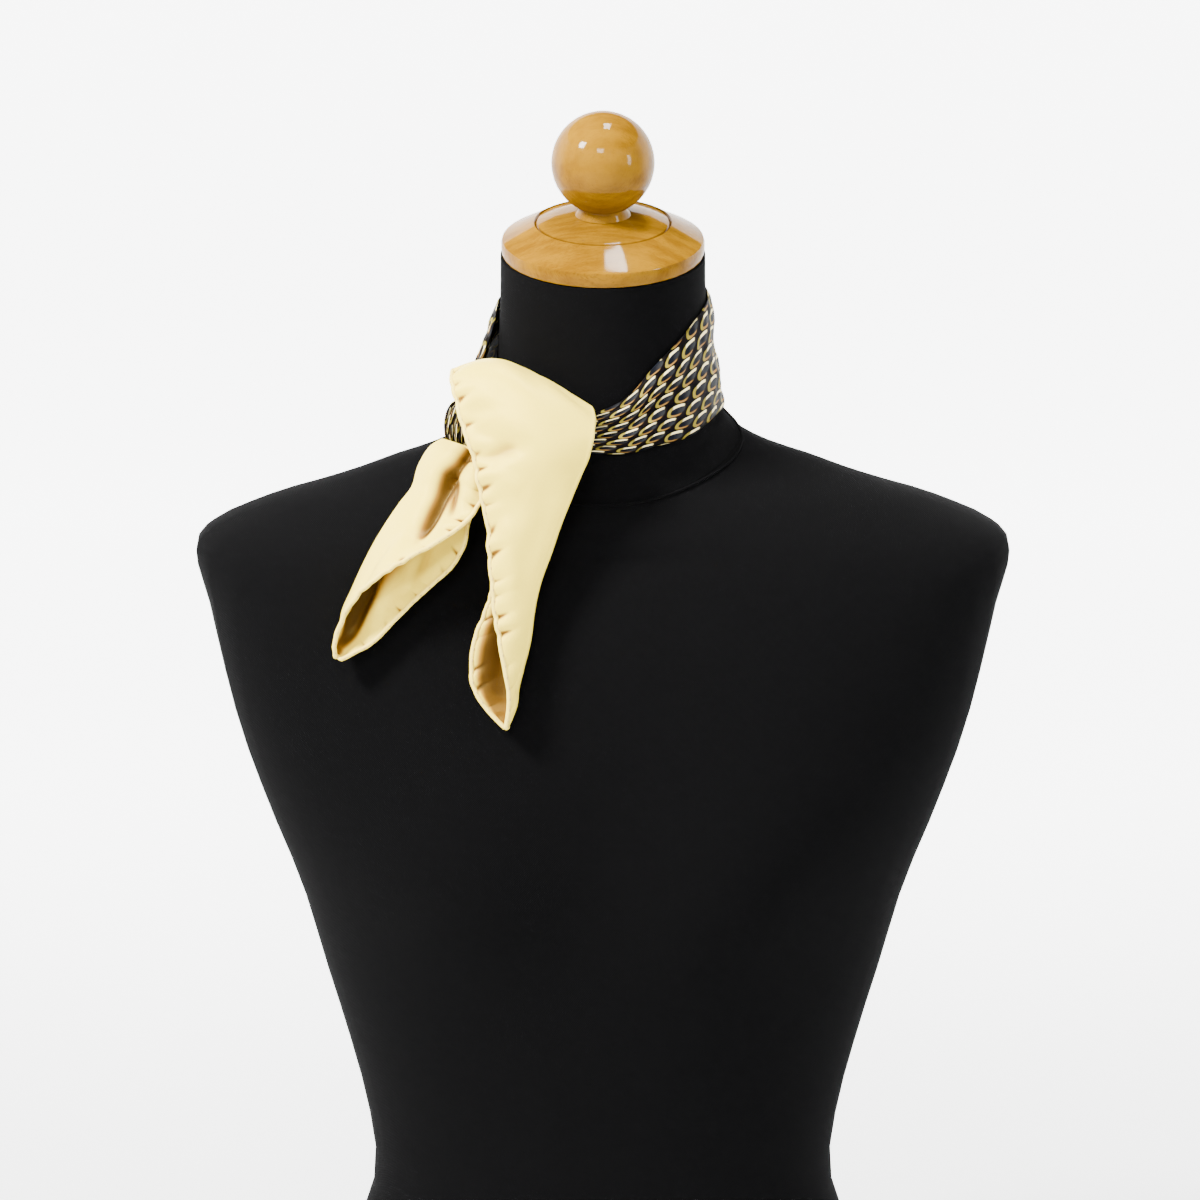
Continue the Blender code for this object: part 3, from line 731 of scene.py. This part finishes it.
def hem_group():
    """Geometry nodes: a rolled tube along a line of edges, pricked with small stitches."""
    tree = bpy.data.node_groups.new("Rolled hem", "GeometryNodeTree")
    face = tree.interface
    face.new_socket("Geometry", in_out="INPUT", socket_type="NodeSocketGeometry")
    sizes = {"Roll Radius": 0.0012, "Unevenness": 0.25, "Stitch Spacing": 0.0055,
             "Stitch Length": 0.0016}
    for label, value in sizes.items():
        socket = face.new_socket(label, in_out="INPUT", socket_type="NodeSocketFloat")
        socket.default_value = value
    face.new_socket("Silk", in_out="INPUT", socket_type="NodeSocketMaterial")
    face.new_socket("Thread", in_out="INPUT", socket_type="NodeSocketMaterial")
    face.new_socket("Geometry", in_out="OUTPUT", socket_type="NodeSocketGeometry")
    build = Nodes(tree)
    given = tree.nodes.new("NodeGroupInput").outputs
    line = build.add("GeometryNodeMeshToCurve", {"Mesh": given["Geometry"]}).outputs[0]
    fine = build.add("GeometryNodeResampleCurve", {"Curve": line, "Length": 0.0008},
                     mode="LENGTH")
    noise = build.add("ShaderNodeTexNoise", {"Scale": 210.0, "Detail": 2.0})
    swing = build.math("MULTIPLY", build.math("SUBTRACT", noise.outputs[0], 0.5),
                       given["Unevenness"])
    size = build.math("MULTIPLY", build.math("ADD", build.math("MULTIPLY", swing, 2.0), 1.0),
                      given["Roll Radius"])
    profile = build.add("GeometryNodeCurvePrimitiveCircle", {"Resolution": 12, "Radius": 1.0})
    tube = build.add("GeometryNodeCurveToMesh", {
        "Curve": fine.outputs[0], "Profile Curve": profile.outputs[0], "Scale": size,
        "Fill Caps": True})
    tube = build.add("GeometryNodeSetMaterial", {
        "Geometry": tube.outputs[0], "Material": given["Silk"]})
    spots = build.add("GeometryNodeResampleCurve", {
        "Curve": line, "Length": given["Stitch Spacing"]}, mode="LENGTH")
    bead = build.add("GeometryNodeMeshUVSphere", {"Segments": 8, "Rings": 6, "Radius": 0.5})
    tangent = build.add("GeometryNodeInputTangent").outputs[0]
    lie = build.add("FunctionNodeAlignRotationToVector", {"Vector": tangent}, axis="Z")
    thin = build.math("MULTIPLY", given["Stitch Length"], 0.32)
    shape = build.add("ShaderNodeCombineXYZ", {0: thin, 1: thin, 2: given["Stitch Length"]})
    stitches = build.add("GeometryNodeInstanceOnPoints", {
        "Points": spots.outputs[0], "Instance": bead.outputs[0],
        "Rotation": lie.outputs[0], "Scale": shape.outputs[0]})
    offset = build.add("ShaderNodeVectorMath", {0: (0.45, -0.9, 0.0), 3: given["Roll Radius"]},
                       operation="SCALE")
    moved = build.add("GeometryNodeTranslateInstances", {
        "Instances": stitches.outputs[0], "Translation": offset.outputs[0],
        "Local Space": False})
    real = build.add("GeometryNodeRealizeInstances", {"Geometry": moved.outputs[0]})
    sewn = build.add("GeometryNodeSetMaterial", {
        "Geometry": real.outputs[0], "Material": given["Thread"]})
    joined = tree.nodes.new("GeometryNodeJoinGeometry")
    tree.links.new(tube.outputs[0], joined.inputs[0])
    tree.links.new(sewn.outputs[0], joined.inputs[0])
    end = tree.nodes.new("NodeGroupOutput")
    tree.links.new(joined.outputs[0], end.inputs[0])
    return tree


def rolled_hem(name, points, radius, silk, sewing):
    """Rolled hem along a line of millimetre points; its radius is in metres."""
    mesh = bpy.data.meshes.new(name)
    edges = [(i, i + 1) for i in range(len(points) - 1)]
    mesh.from_pydata((np.array(points) * MM).tolist(), edges, [])
    made = link(name, mesh)
    tree = bpy.data.node_groups.get("Rolled hem") or hem_group()
    roll = made.modifiers.new("hem", "NODES")
    roll.node_group = tree
    named = {s.name: s.identifier for s in tree.interface.items_tree if s.in_out == "INPUT"}
    roll[named["Roll Radius"]] = radius
    roll[named["Silk"]] = silk
    roll[named["Thread"]] = sewing
    return settle(made)


# ---------------------------------------------------------------- scarf pieces

def press(layer, creases, which, places, share):
    """Depth of the listed creases over one layer of a tail."""
    depth = np.zeros(layer.shape[:2])
    for crease in creases:
        if crease.layer != which:
            continue
        ends = []
        for row, s in (crease.start, crease.end):
            i = int(np.argmin(abs(places - row)))
            j = int(np.argmin(abs(share - s)))
            ends.append(layer[i, j])
        a, b = ends
        axis = b - a
        t = np.clip(((layer - a) @ axis) / (axis @ axis), 0, 1)
        gap = np.linalg.norm(layer - (a + t[..., None] * axis), axis=2)
        fade = np.sin(pi * (0.20 + 0.76 * t)) ** 0.6
        depth += crease.depth * fade * np.exp(-(gap / crease.width) ** 2)
    return depth


def puckers(run, away, width, seed):
    """Pillows between the stitches of a hand rolled hem: broad bulges and narrow dimples."""
    drift = 0.24 * np.sin(run * 0.11 + seed) + 0.11 * np.sin(run * 0.31 + 2 * seed)
    phase = (run + 0.5 * away) / PUCKER_PITCH + drift
    pillow = (0.5 - 0.5 * np.cos(2 * pi * phase)) ** 0.55 - 0.62
    strength = 0.85 + 0.35 * np.sin(run * 0.17 + 3 * seed)
    reach = np.exp(-(away / PUCKER_REACH) ** 1.7) * (0.35 + 0.65 * np.minimum(away / 1.6, 1))
    return PUCKER_DEPTH * pillow * strength * reach * np.clip(width / 14, 0, 1)


def tail_surface(tail, rows, wide):
    """Middle surface of a folded tail as a grid of points, hem to fold to hem."""
    table = tail.table
    places = np.linspace(0, len(table) - 1, rows)
    turn = np.radians(between(table, "turn", places))
    out = np.concatenate([0 * turn, -np.cos(turn), np.sin(turn)], axis=1)[:, None, :]
    hem, fold = between(table, "hem", places), between(table, "fold", places)
    back = between(table, "back", places)
    belly, arch = between(table, "belly", places), between(table, "arch", places)
    up = np.array([0, 0, 1.0])
    share = np.linspace(0, 1, wide)
    s = share[None, :, None]
    swell = (4 * s * (1 - s)) * belly[:, None, :]
    crest = np.sin(pi * np.minimum(s / 0.5, 1) / 2) * (1 - s) * 1.6 * arch[:, None, :]
    front = hem[:, None] * (1 - s) + fold[:, None] * s + out * swell + up * crest
    # a half round edge joins the layers at the fold
    gap = np.maximum(FOLD_GAP, 0.25 * np.linalg.norm(back - hem, axis=1))[:, None, None]
    across = fold - hem
    across = (across / np.linalg.norm(across, axis=1, keepdims=True))[:, None]
    bend = np.linspace(0, pi, FOLD_STEPS)[None, 1:-1, None]
    centre = fold[:, None] - out * gap / 2
    edge = centre + out * gap / 2 * np.cos(bend) + across * gap / 2 * np.sin(bend)
    behind = fold[:, None] - out * gap
    rear = behind * s + back[:, None] * (1 - s)
    rear = rear + up * arch[:, None, :] * 4 * s * (1 - s) * 0.8
    rear = rear + out * swell * tail.back_swell
    return places, share, front, edge, rear


def tail_grid(tail, rows, wide):
    """Grid of points, cloth coordinates and fold shade of a tail."""
    places, share, front, edge, rear = tail_surface(tail, rows, wide)
    layers, shades = [], []
    for layer, which in ((front, "front"), (rear, "back")):
        normal = normals_of(layer)
        facing = (normal * np.array([0.2, -1.0, 0.35])).sum(axis=2, keepdims=True)
        outward = normal * np.sign(facing)
        away = lengths(layer, 1)
        run = np.repeat(lengths(layer, 0)[:, :1], wide, axis=1)
        width = away[:, -1:]
        gathers = puckers(run, away, width, tail.seed + (0 if which == "front" else 1.3))
        gathers *= 1.0 if which == "front" else 0.6
        sunk = press(layer, tail.creases, which, places, share)
        quiet = np.sin(pi * share)[None, :] * np.clip(width / 30, 0, 1)
        slow = 0.35 * quiet * wander(run, away, int(tail.seed * 10) + 3, 34.0)
        hold = np.clip((1 - share) / 0.08, 0, 1)[None, :]
        # the hem is drawn in where a stitch pulls it
        inward = np.gradient(layer, axis=1)
        inward /= np.maximum(np.linalg.norm(inward, axis=2, keepdims=True), 1e-9)
        scallop = -0.45 * gathers * np.exp(-away / 3.0)
        layer = layer + inward * scallop[..., None]
        layers.append(layer + outward * ((gathers - sunk + slow) * hold)[..., None])
        shade = CREASE_SHADE * rise(sunk, 0.6, 5.8)
        shade = shade + DIMPLE_SHADE * rise(-gathers, 0.12, 1.15)
        if which == "back":
            lit = 1 - 0.22 * rise(places[:, None], *tail.lit)
            lit = lit * rise(places[:, None], *tail.mouth)
            shade = shade + INSIDE_SHADE * lit * rise(share[None, :], *tail.inside)
        shades.append(np.clip(shade, 0, MOST_SHADE) * hold)
    front, rear = layers
    grid = np.concatenate([front, edge, rear[:, ::-1]], axis=1)
    shade = np.concatenate([shades[0], np.zeros(edge.shape[:2]), shades[1][:, ::-1]], axis=1)
    uv = np.stack([lengths(grid, 1), lengths(grid, 0)], axis=2)
    middle = wide + edge.shape[1] // 2
    uv[..., 1] = uv[:, middle:middle + 1, 1]
    return grid, uv, shade


def mark_shade(mesh, shade):
    """Keep the fold shade with the points of a mesh."""
    mark = mesh.attributes.new("shade", "FLOAT", "POINT")
    mark.data.foreach_set("value", shade.ravel())
    return mesh


def build_tail(tail, rows, wide, hem_radius):
    """A folded silk tail with its rolled hem."""
    look = looks()
    grid, uv, shade = tail_grid(tail, rows, wide)
    mesh = mark_shade(grid_mesh(tail.node, grid, uv), shade)
    made = thicken(link(tail.node + "_silk", mesh), SILK_WALL)
    finish_piece(made, look["plain_silk"], (tail.node,))
    line = np.concatenate([grid[:, 0], grid[-1, 1:-1:6], grid[::-1, -1]])
    hem = rolled_hem(tail.node + "_hem", line, hem_radius, look["hem_silk"], look["thread"])
    finish_piece(hem, None)
    return made, hem


def neck_radius(form, azimuths, row, w):
    """The neck's radius under every point of the band, read coarsely and evened out."""
    coarse_a = np.linspace(azimuths[0], azimuths[-1], NECK_READINGS)
    coarse_w = np.linspace(0, 1, NECK_LEVELS)
    sample = np.zeros((NECK_READINGS, NECK_LEVELS))
    for i, azimuth in enumerate(coarse_a):
        middle = np.interp(azimuth, azimuths, row["middle"])
        width = np.interp(azimuth, azimuths, row["width"])
        for j, share in enumerate(coarse_w):
            sample[i, j] = form.soft_radius(azimuth, middle + width * (share - 0.5))
    columns = np.array([np.interp(azimuths, coarse_a, column) for column in sample.T]).T
    return np.array([np.interp(w, coarse_w, line) for line in columns])


def band_folds(azimuths, row, w):
    """How far the band's two skins stand off the neck, and the painted shade in its valleys and
    along its edges.
    """
    share = w[None, :]
    run = radians(1) * (azimuths - azimuths[0])[:, None] * NECK_REACH
    swell = 0.5 - 0.5 * np.cos(4 * pi * share ** 1.15)
    lift = BAND_GAP + row["lift"][:, None] + row["flare"][:, None] * (1 - share)
    lift = lift + row["pleat"][:, None] * swell
    # gathers where the band is drawn narrow, one flat step of the fold where it is wide
    tight = np.clip((GATHER_WIDTH - row["width"][:, None]) / GATHER_SPAN, 0, 1)
    gathers = np.abs(np.sin(pi * (share * GATHER_COUNT + 0.35 * np.sin(run / 13))))
    step = 1 / (1 + np.exp(-(share - STEP_AT - 0.05 * np.sin(run / 30)) * 60))
    top = lift + tight * GATHER_DEPTH * (gathers ** 0.7 - 0.5)
    top = top - STEP_DROP * step * (1 - tight)
    top = top + 0.45 * wander(run, share * 50, 5, 30.0)
    top = top + 0.22 * wander(run, share * 50, 9, 9.0)
    soft = [np.sin(pi * np.clip(side / 0.05, 0, 1) / 2) for side in (w, 1 - w)]
    top = top + BAND_WALL * (0.35 + 0.65 * soft[0] * soft[1])[None, :]
    # painted shade: darker in the valleys of the gathers and along both edges of the band
    valley = 0.9 * tight * (1 - gathers) ** 1.6
    edge = np.minimum(w, 1 - w)[None, :] * row["width"][:, None]
    return lift, top, np.maximum(valley, 0.55 * np.exp(-edge / 1.6))


def band_grid(form):
    """Closed section of the neck band at every row: up the outer face, down the inner."""
    azimuths = np.linspace(BAND[0].azimuth, BAND[-1].azimuth, BAND_ROWS)
    row = {c: through(BAND, c, azimuths) for c in Band._fields[1:]}
    w = np.linspace(0, 1, BAND_COLUMNS)
    lift, top, shade = band_folds(azimuths, row, w)
    base = neck_radius(form, azimuths, row, w)
    inner = base + lift
    outer = np.maximum(base + top, inner + 0.6)
    heights = row["middle"][:, None] + row["width"][:, None] * (w[None, :] - 0.5)
    turn = np.radians(azimuths)[:, None]
    axis_y = np.interp(heights, *AXIS_Y)
    faces = [np.stack([reach * np.sin(turn), axis_y - reach * np.cos(turn), heights], axis=2)
             for reach in (outer, inner)]
    grid = np.concatenate([faces[0], faces[1][:, ::-1]], axis=1)
    # cloth coordinates: the print is drawn out at the side of the neck
    along = lengths(faces[0][:, BAND_COLUMNS // 2, None], 0)[:, 0]
    pull = 1 + PRINT_PULL * np.exp(-((azimuths - 68) / 32) ** 2)
    run = np.concatenate([[0], np.cumsum(np.diff(along) / pull[1:])])
    across = np.concatenate([w, 1 + w]) * CLOTH_WIDTH
    uv = np.stack(np.broadcast_arrays(run[:, None], across[None, :]), axis=2)
    uv = uv + PRINT_BIAS * run[:, None, None] * np.array([0, 1])
    return grid, uv, np.concatenate([shade, np.full_like(shade, HIDDEN_SHADE)], axis=1)


def build_band():
    """The folded neck band, printed side out."""
    grid, uv, shade = band_grid(Form(*FORM_NODES))
    mesh = mark_shade(grid_mesh("neck_band", grid, uv, closed=True), shade)
    made = link("neck_band_silk", mesh)
    return finish_piece(made, looks()["printed_silk"], ("neck_band",))


def knot_grid():
    """The knot's gathered wrap, pleats running round it, outside then inside."""
    axis = Vector(KNOT_AXIS).normalized()
    out = axis.cross(Vector((0, 0, 1))).normalized()
    up = out.cross(axis)
    axis, out, up = (np.array(v) for v in (axis, out, up))
    place = np.linspace(0, 1, KNOT_ROWS)[:, None]
    angle = np.linspace(0, 2 * pi, KNOT_COLUMNS, endpoint=False)[None, :]
    waist = 1 - 0.16 * (2 * place - 1) ** 2
    crowd = place + 0.028 * np.sin(2 * pi * 3.1 * place + 0.6) + 0.03 * np.sin(angle + 2.2)
    ridge = np.abs(np.sin(pi * KNOT_PLEATS * crowd)) ** 0.75
    deep = KNOT_PLEAT_DEPTH * (ridge - 0.7) * (0.8 + 0.3 * np.sin(2 * angle + 9 * place))
    centre = np.array(KNOT_AT) + axis * KNOT_LENGTH * (place[..., None] - 0.5)
    skins = []
    for wall in (0.0, KNOT_WALL):
        wide = KNOT_DEPTH_RADIUS * waist + deep - wall
        high = KNOT_HEIGHT_RADIUS * waist + deep - wall
        ring = out * (wide * np.cos(angle))[..., None] + up * (high * np.sin(angle))[..., None]
        skins.append(centre + ring)
    grid = np.concatenate([skins[0], skins[1][::-1]], axis=0)
    run = np.concatenate([place, 2 - place[::-1]]) * KNOT_LENGTH * KNOT_FULLNESS
    uv = np.stack(np.broadcast_arrays(angle / (2 * pi) * KNOT_ROUND, run), axis=2)
    shade = np.concatenate([0.92 * (1 - ridge) ** 1.2, np.full_like(ridge, HIDDEN_SHADE)])
    grid, shade = (np.concatenate([part, part[:1]]) for part in (grid, shade))
    return grid, np.concatenate([uv, uv[-1:]]), shade


def build_knot():
    """The knot's gathered wrap, printed side out."""
    grid, uv, shade = knot_grid()
    mesh = mark_shade(grid_mesh("knot_wrap", grid, uv, closed=True), shade)
    made = link("knot_wrap_silk", mesh)
    made.modifiers.new("weld", "WELD").merge_threshold = WELD_REACH
    made = settle(made)
    return finish_piece(made, looks()["printed_silk"], ("knot_wrap",))


# ---------------------------------------------------------------- form pieces

def soften(node, angle):
    """Smooth shading for a CAD node, its flat cuts kept sharp."""
    node.modifiers.new("weld", "WELD").merge_threshold = WELD_REACH
    node.data.shade_smooth()
    for corner in ("custom_normal", "sharp_face", "sharp_edge"):
        attribute = node.data.attributes.get(corner)
        if attribute is not None:
            node.data.attributes.remove(attribute)
    tree = bpy.data.node_groups.get("Smooth under angle") or smooth_group()
    shade = node.modifiers.new("smooth", "NODES")
    shade.node_group = tree
    named = {s.name: s.identifier for s in tree.interface.items_tree if s.in_out == "INPUT"}
    shade[named["Angle"]] = radians(angle)


def smooth_group():
    """Geometry nodes: shade smooth, with edges steeper than an angle kept sharp."""
    tree = bpy.data.node_groups.new("Smooth under angle", "GeometryNodeTree")
    tree.interface.new_socket("Geometry", in_out="INPUT", socket_type="NodeSocketGeometry")
    turn = tree.interface.new_socket("Angle", in_out="INPUT", socket_type="NodeSocketFloat")
    turn.default_value = 0.6
    tree.interface.new_socket("Geometry", in_out="OUTPUT", socket_type="NodeSocketGeometry")
    build = Nodes(tree)
    given = tree.nodes.new("NodeGroupInput").outputs
    steep = build.add("GeometryNodeInputMeshEdgeAngle").outputs[0]
    keep = build.add("FunctionNodeCompare", {0: steep, 1: given["Angle"]},
                     operation="LESS_THAN").outputs[0]
    faces = build.add("GeometryNodeSetShadeSmooth", {"Geometry": given["Geometry"]},
                      domain="FACE")
    edges = build.add("GeometryNodeSetShadeSmooth", {
        "Geometry": faces.outputs[0], "Shade Smooth": keep}, domain="EDGE")
    end = tree.nodes.new("NodeGroupOutput")
    tree.links.new(edges.outputs[0], end.inputs[0])
    return tree


def seam_line(form):
    """Points round the neck where the form's surface meets the leaning seam plane."""
    points = []
    for azimuth in range(0, 360, 3):
        height = SEAM_HEIGHT
        for _ in range(12):
            reach = form.soft_radius(azimuth, height)
            y = float(np.interp(height, *AXIS_Y)) - reach * cos(radians(azimuth))
            height = 0.5 * height + 0.5 * (SEAM_HEIGHT + y * tan(radians(SEAM_LEAN)))
        points.append((reach * sin(radians(azimuth)), y, height))
    return np.array(points)


def build_seam():
    """Narrow welt over the neck seam of the jersey."""
    points = seam_line(Form(*FORM_NODES))
    curve = bpy.data.curves.new("neck_seam_welt", "CURVE")
    curve.dimensions = "3D"
    curve.bevel_depth = WELT_RADIUS * MM
    curve.bevel_resolution = 3
    line = curve.splines.new("POLY")
    line.points.add(len(points) - 1)
    for spot, point in zip(line.points, points):
        spot.co = (*(point * MM), 1)
    line.use_cyclic_u = True
    made = settle(link("neck_seam_welt", curve))
    return finish_piece(made, looks()["black_jersey"])


# ---------------------------------------------------------------- operators

class ScarfSettings(bpy.types.PropertyGroup):
    """Sizes and colours of the scarf"""
    hem_radius: bpy.props.FloatProperty(
        name="Hem radius", description="Radius of the rolled hem",
        default=1.15 * MM, min=0.4 * MM, max=3 * MM, precision=5, unit="LENGTH")
    silk_colour: bpy.props.FloatVectorProperty(
        name="Silk colour", description="Colour of the plain corners of the square",
        subtype="COLOR", size=4, default=SILK_BRIGHT, min=0, max=1)
    jersey_colour: bpy.props.FloatVectorProperty(
        name="Jersey colour", description="Colour of the form's cover",
        subtype="COLOR", size=4, default=JERSEY_BLACK, min=0, max=1)
    tail_rows: bpy.props.IntProperty(
        name="Tail rows", description="Rows of faces along each tail",
        default=330, min=60, max=600)
    tail_columns: bpy.props.IntProperty(
        name="Tail columns", description="Columns of faces across each layer of a tail",
        default=56, min=16, max=120)


class SCARF_OT_form(bpy.types.Operator):
    """Dress the bust form, its wooden cap and ball"""
    bl_idname = "scarf.form"
    bl_label = "Build form"

    def execute(self, context):
        look = looks()
        slots = {"form_torso": "black_jersey", "form_neck": "black_jersey",
                 "neck_cap": "varnished_wood", "cap_finial": "varnished_wood"}
        for name, slot in slots.items():
            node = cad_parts[name]
            node.data.materials.clear()
            node.data.materials.append(look[slot])
            soften(node, SHARP_ANGLE)
        build_seam()
        return {"FINISHED"}


class SCARF_OT_band(bpy.types.Operator):
    """Build the printed neck band and the gathered knot"""
    bl_idname = "scarf.band"
    bl_label = "Build band and knot"

    def execute(self, context):
        band = build_band()
        knot = build_knot()
        return {"FINISHED"}


class SCARF_OT_tails(bpy.types.Operator):
    """Build the two champagne tails with their rolled hems"""
    bl_idname = "scarf.tails"
    bl_label = "Build tails"

    def execute(self, context):
        given = context.scene.scarf
        size = (given.tail_rows, given.tail_columns, given.hem_radius)
        tail, hem = build_tail(TAILS["front"], *size)
        tail, hem = build_tail(TAILS["side"], *size)
        return {"FINISHED"}


def soft_box(box):
    """Area light at its place, turned to its aim."""
    light = bpy.data.lights.new(box.name, "AREA")
    light.shape = "RECTANGLE"
    light.size, light.size_y = box.size
    light.energy = box.power
    light.color = box.tint
    made = link(box.name, light)
    made.location = box.place
    away = Vector(box.aim) - Vector(box.place)
    made.rotation_euler = away.to_track_quat("-Z", "Y").to_euler()
    return made


def paper_dish():
    """Pale round floor curving up on every side into glowing paper, far from the form."""
    turns = [2 * pi * i / DISH_SIDES for i in range(DISH_SIDES)]
    rim = DISH[1:]
    points = [(0.0, 0.0, 0.0)] + [(r * cos(a), r * sin(a), z) for r, z in rim for a in turns]
    points = [(x, y, z - 0.001) for x, y, z in points]
    faces = []
    for i in range(DISH_SIDES):
        j = (i + 1) % DISH_SIDES
        faces.append((0, 1 + i, 1 + j))
        for ring in range(len(rim) - 1):
            low = 1 + ring * DISH_SIDES
            high = low + DISH_SIDES
            faces.append((low + i, high + i, high + j, low + j))
    mesh = bpy.data.meshes.new("studio_paper")
    mesh.from_pydata(points, [], faces)
    mesh.shade_smooth()
    look, build, shader = material("studio_paper")
    place = build.add("ShaderNodeTexCoord").outputs["Object"]
    depth = build.add("ShaderNodeSeparateXYZ", {0: place}).outputs[1]
    glow = build.math("MULTIPLY", build.step(depth, -0.2, 1.9), BACKDROP_GLOW)
    front = build.math("MULTIPLY", build.step(depth, -0.8, -3.0), FRONT_GLOW)
    build.fill(shader, {
        "Emission Strength": build.math("ADD", glow, front),
        "Emission Color": (1, 1, 1, 1), "Base Color": PAPER, "Roughness": 0.9})
    mesh.materials.append(look)
    return link("studio_paper", mesh)


class SCARF_OT_stage(bpy.types.Operator):
    """Set the pale studio, the soft lights and the camera"""
    bl_idname = "scarf.stage"
    bl_label = "Build stage"

    def execute(self, context):
        paper_dish()
        world = bpy.data.worlds.new("studio")
        context.scene.world = world
        world.use_nodes = True
        sky = world.node_tree.nodes["Background"]
        sky.inputs[0].default_value = (1.0, 1.0, 1.0, 1)
        sky.inputs[1].default_value = SKY_GLOW
        for box in SOFT_BOXES:
            soft_box(box)
        lens = bpy.data.cameras.new("studio_camera")
        lens.sensor_width = SENSOR
        lens.lens = LENS
        camera = link("studio_camera", lens)
        tilt = radians(ELEVATION)
        back = Vector((0, -cos(tilt), sin(tilt)))
        camera.location = Vector(TARGET) + back * DISTANCE
        camera.rotation_euler = (-back).to_track_quat("-Z", "Y").to_euler()
        context.scene.camera = camera
        return {"FINISHED"}


class SCARF_PT_panel(bpy.types.Panel):
    """Sizes of the scarf and a button for each group of pieces"""
    bl_label = "Knotted silk square"
    bl_idname = "SCARF_PT_panel"
    bl_space_type = "VIEW_3D"
    bl_region_type = "UI"
    bl_category = "Scarf"

    def draw(self, context):
        for name in ScarfSettings.__annotations__:
            self.layout.prop(context.scene.scarf, name)
        for kind in OPERATORS:
            self.layout.operator(kind.bl_idname)


OPERATORS = (SCARF_OT_form, SCARF_OT_band, SCARF_OT_tails, SCARF_OT_stage)
CLASSES = (ScarfSettings, *OPERATORS, SCARF_PT_panel)


def register():
    for kind in CLASSES:
        bpy.utils.register_class(kind)
    bpy.types.Scene.scarf = bpy.props.PointerProperty(type=ScarfSettings)


def unregister():
    del bpy.types.Scene.scarf
    for kind in reversed(CLASSES):
        bpy.utils.unregister_class(kind)


def main():
    register()
    bpy.ops.scarf.form()
    bpy.ops.scarf.band()
    bpy.ops.scarf.tails()
    bpy.ops.scarf.stage()


if __name__ == "__main__":
    main()
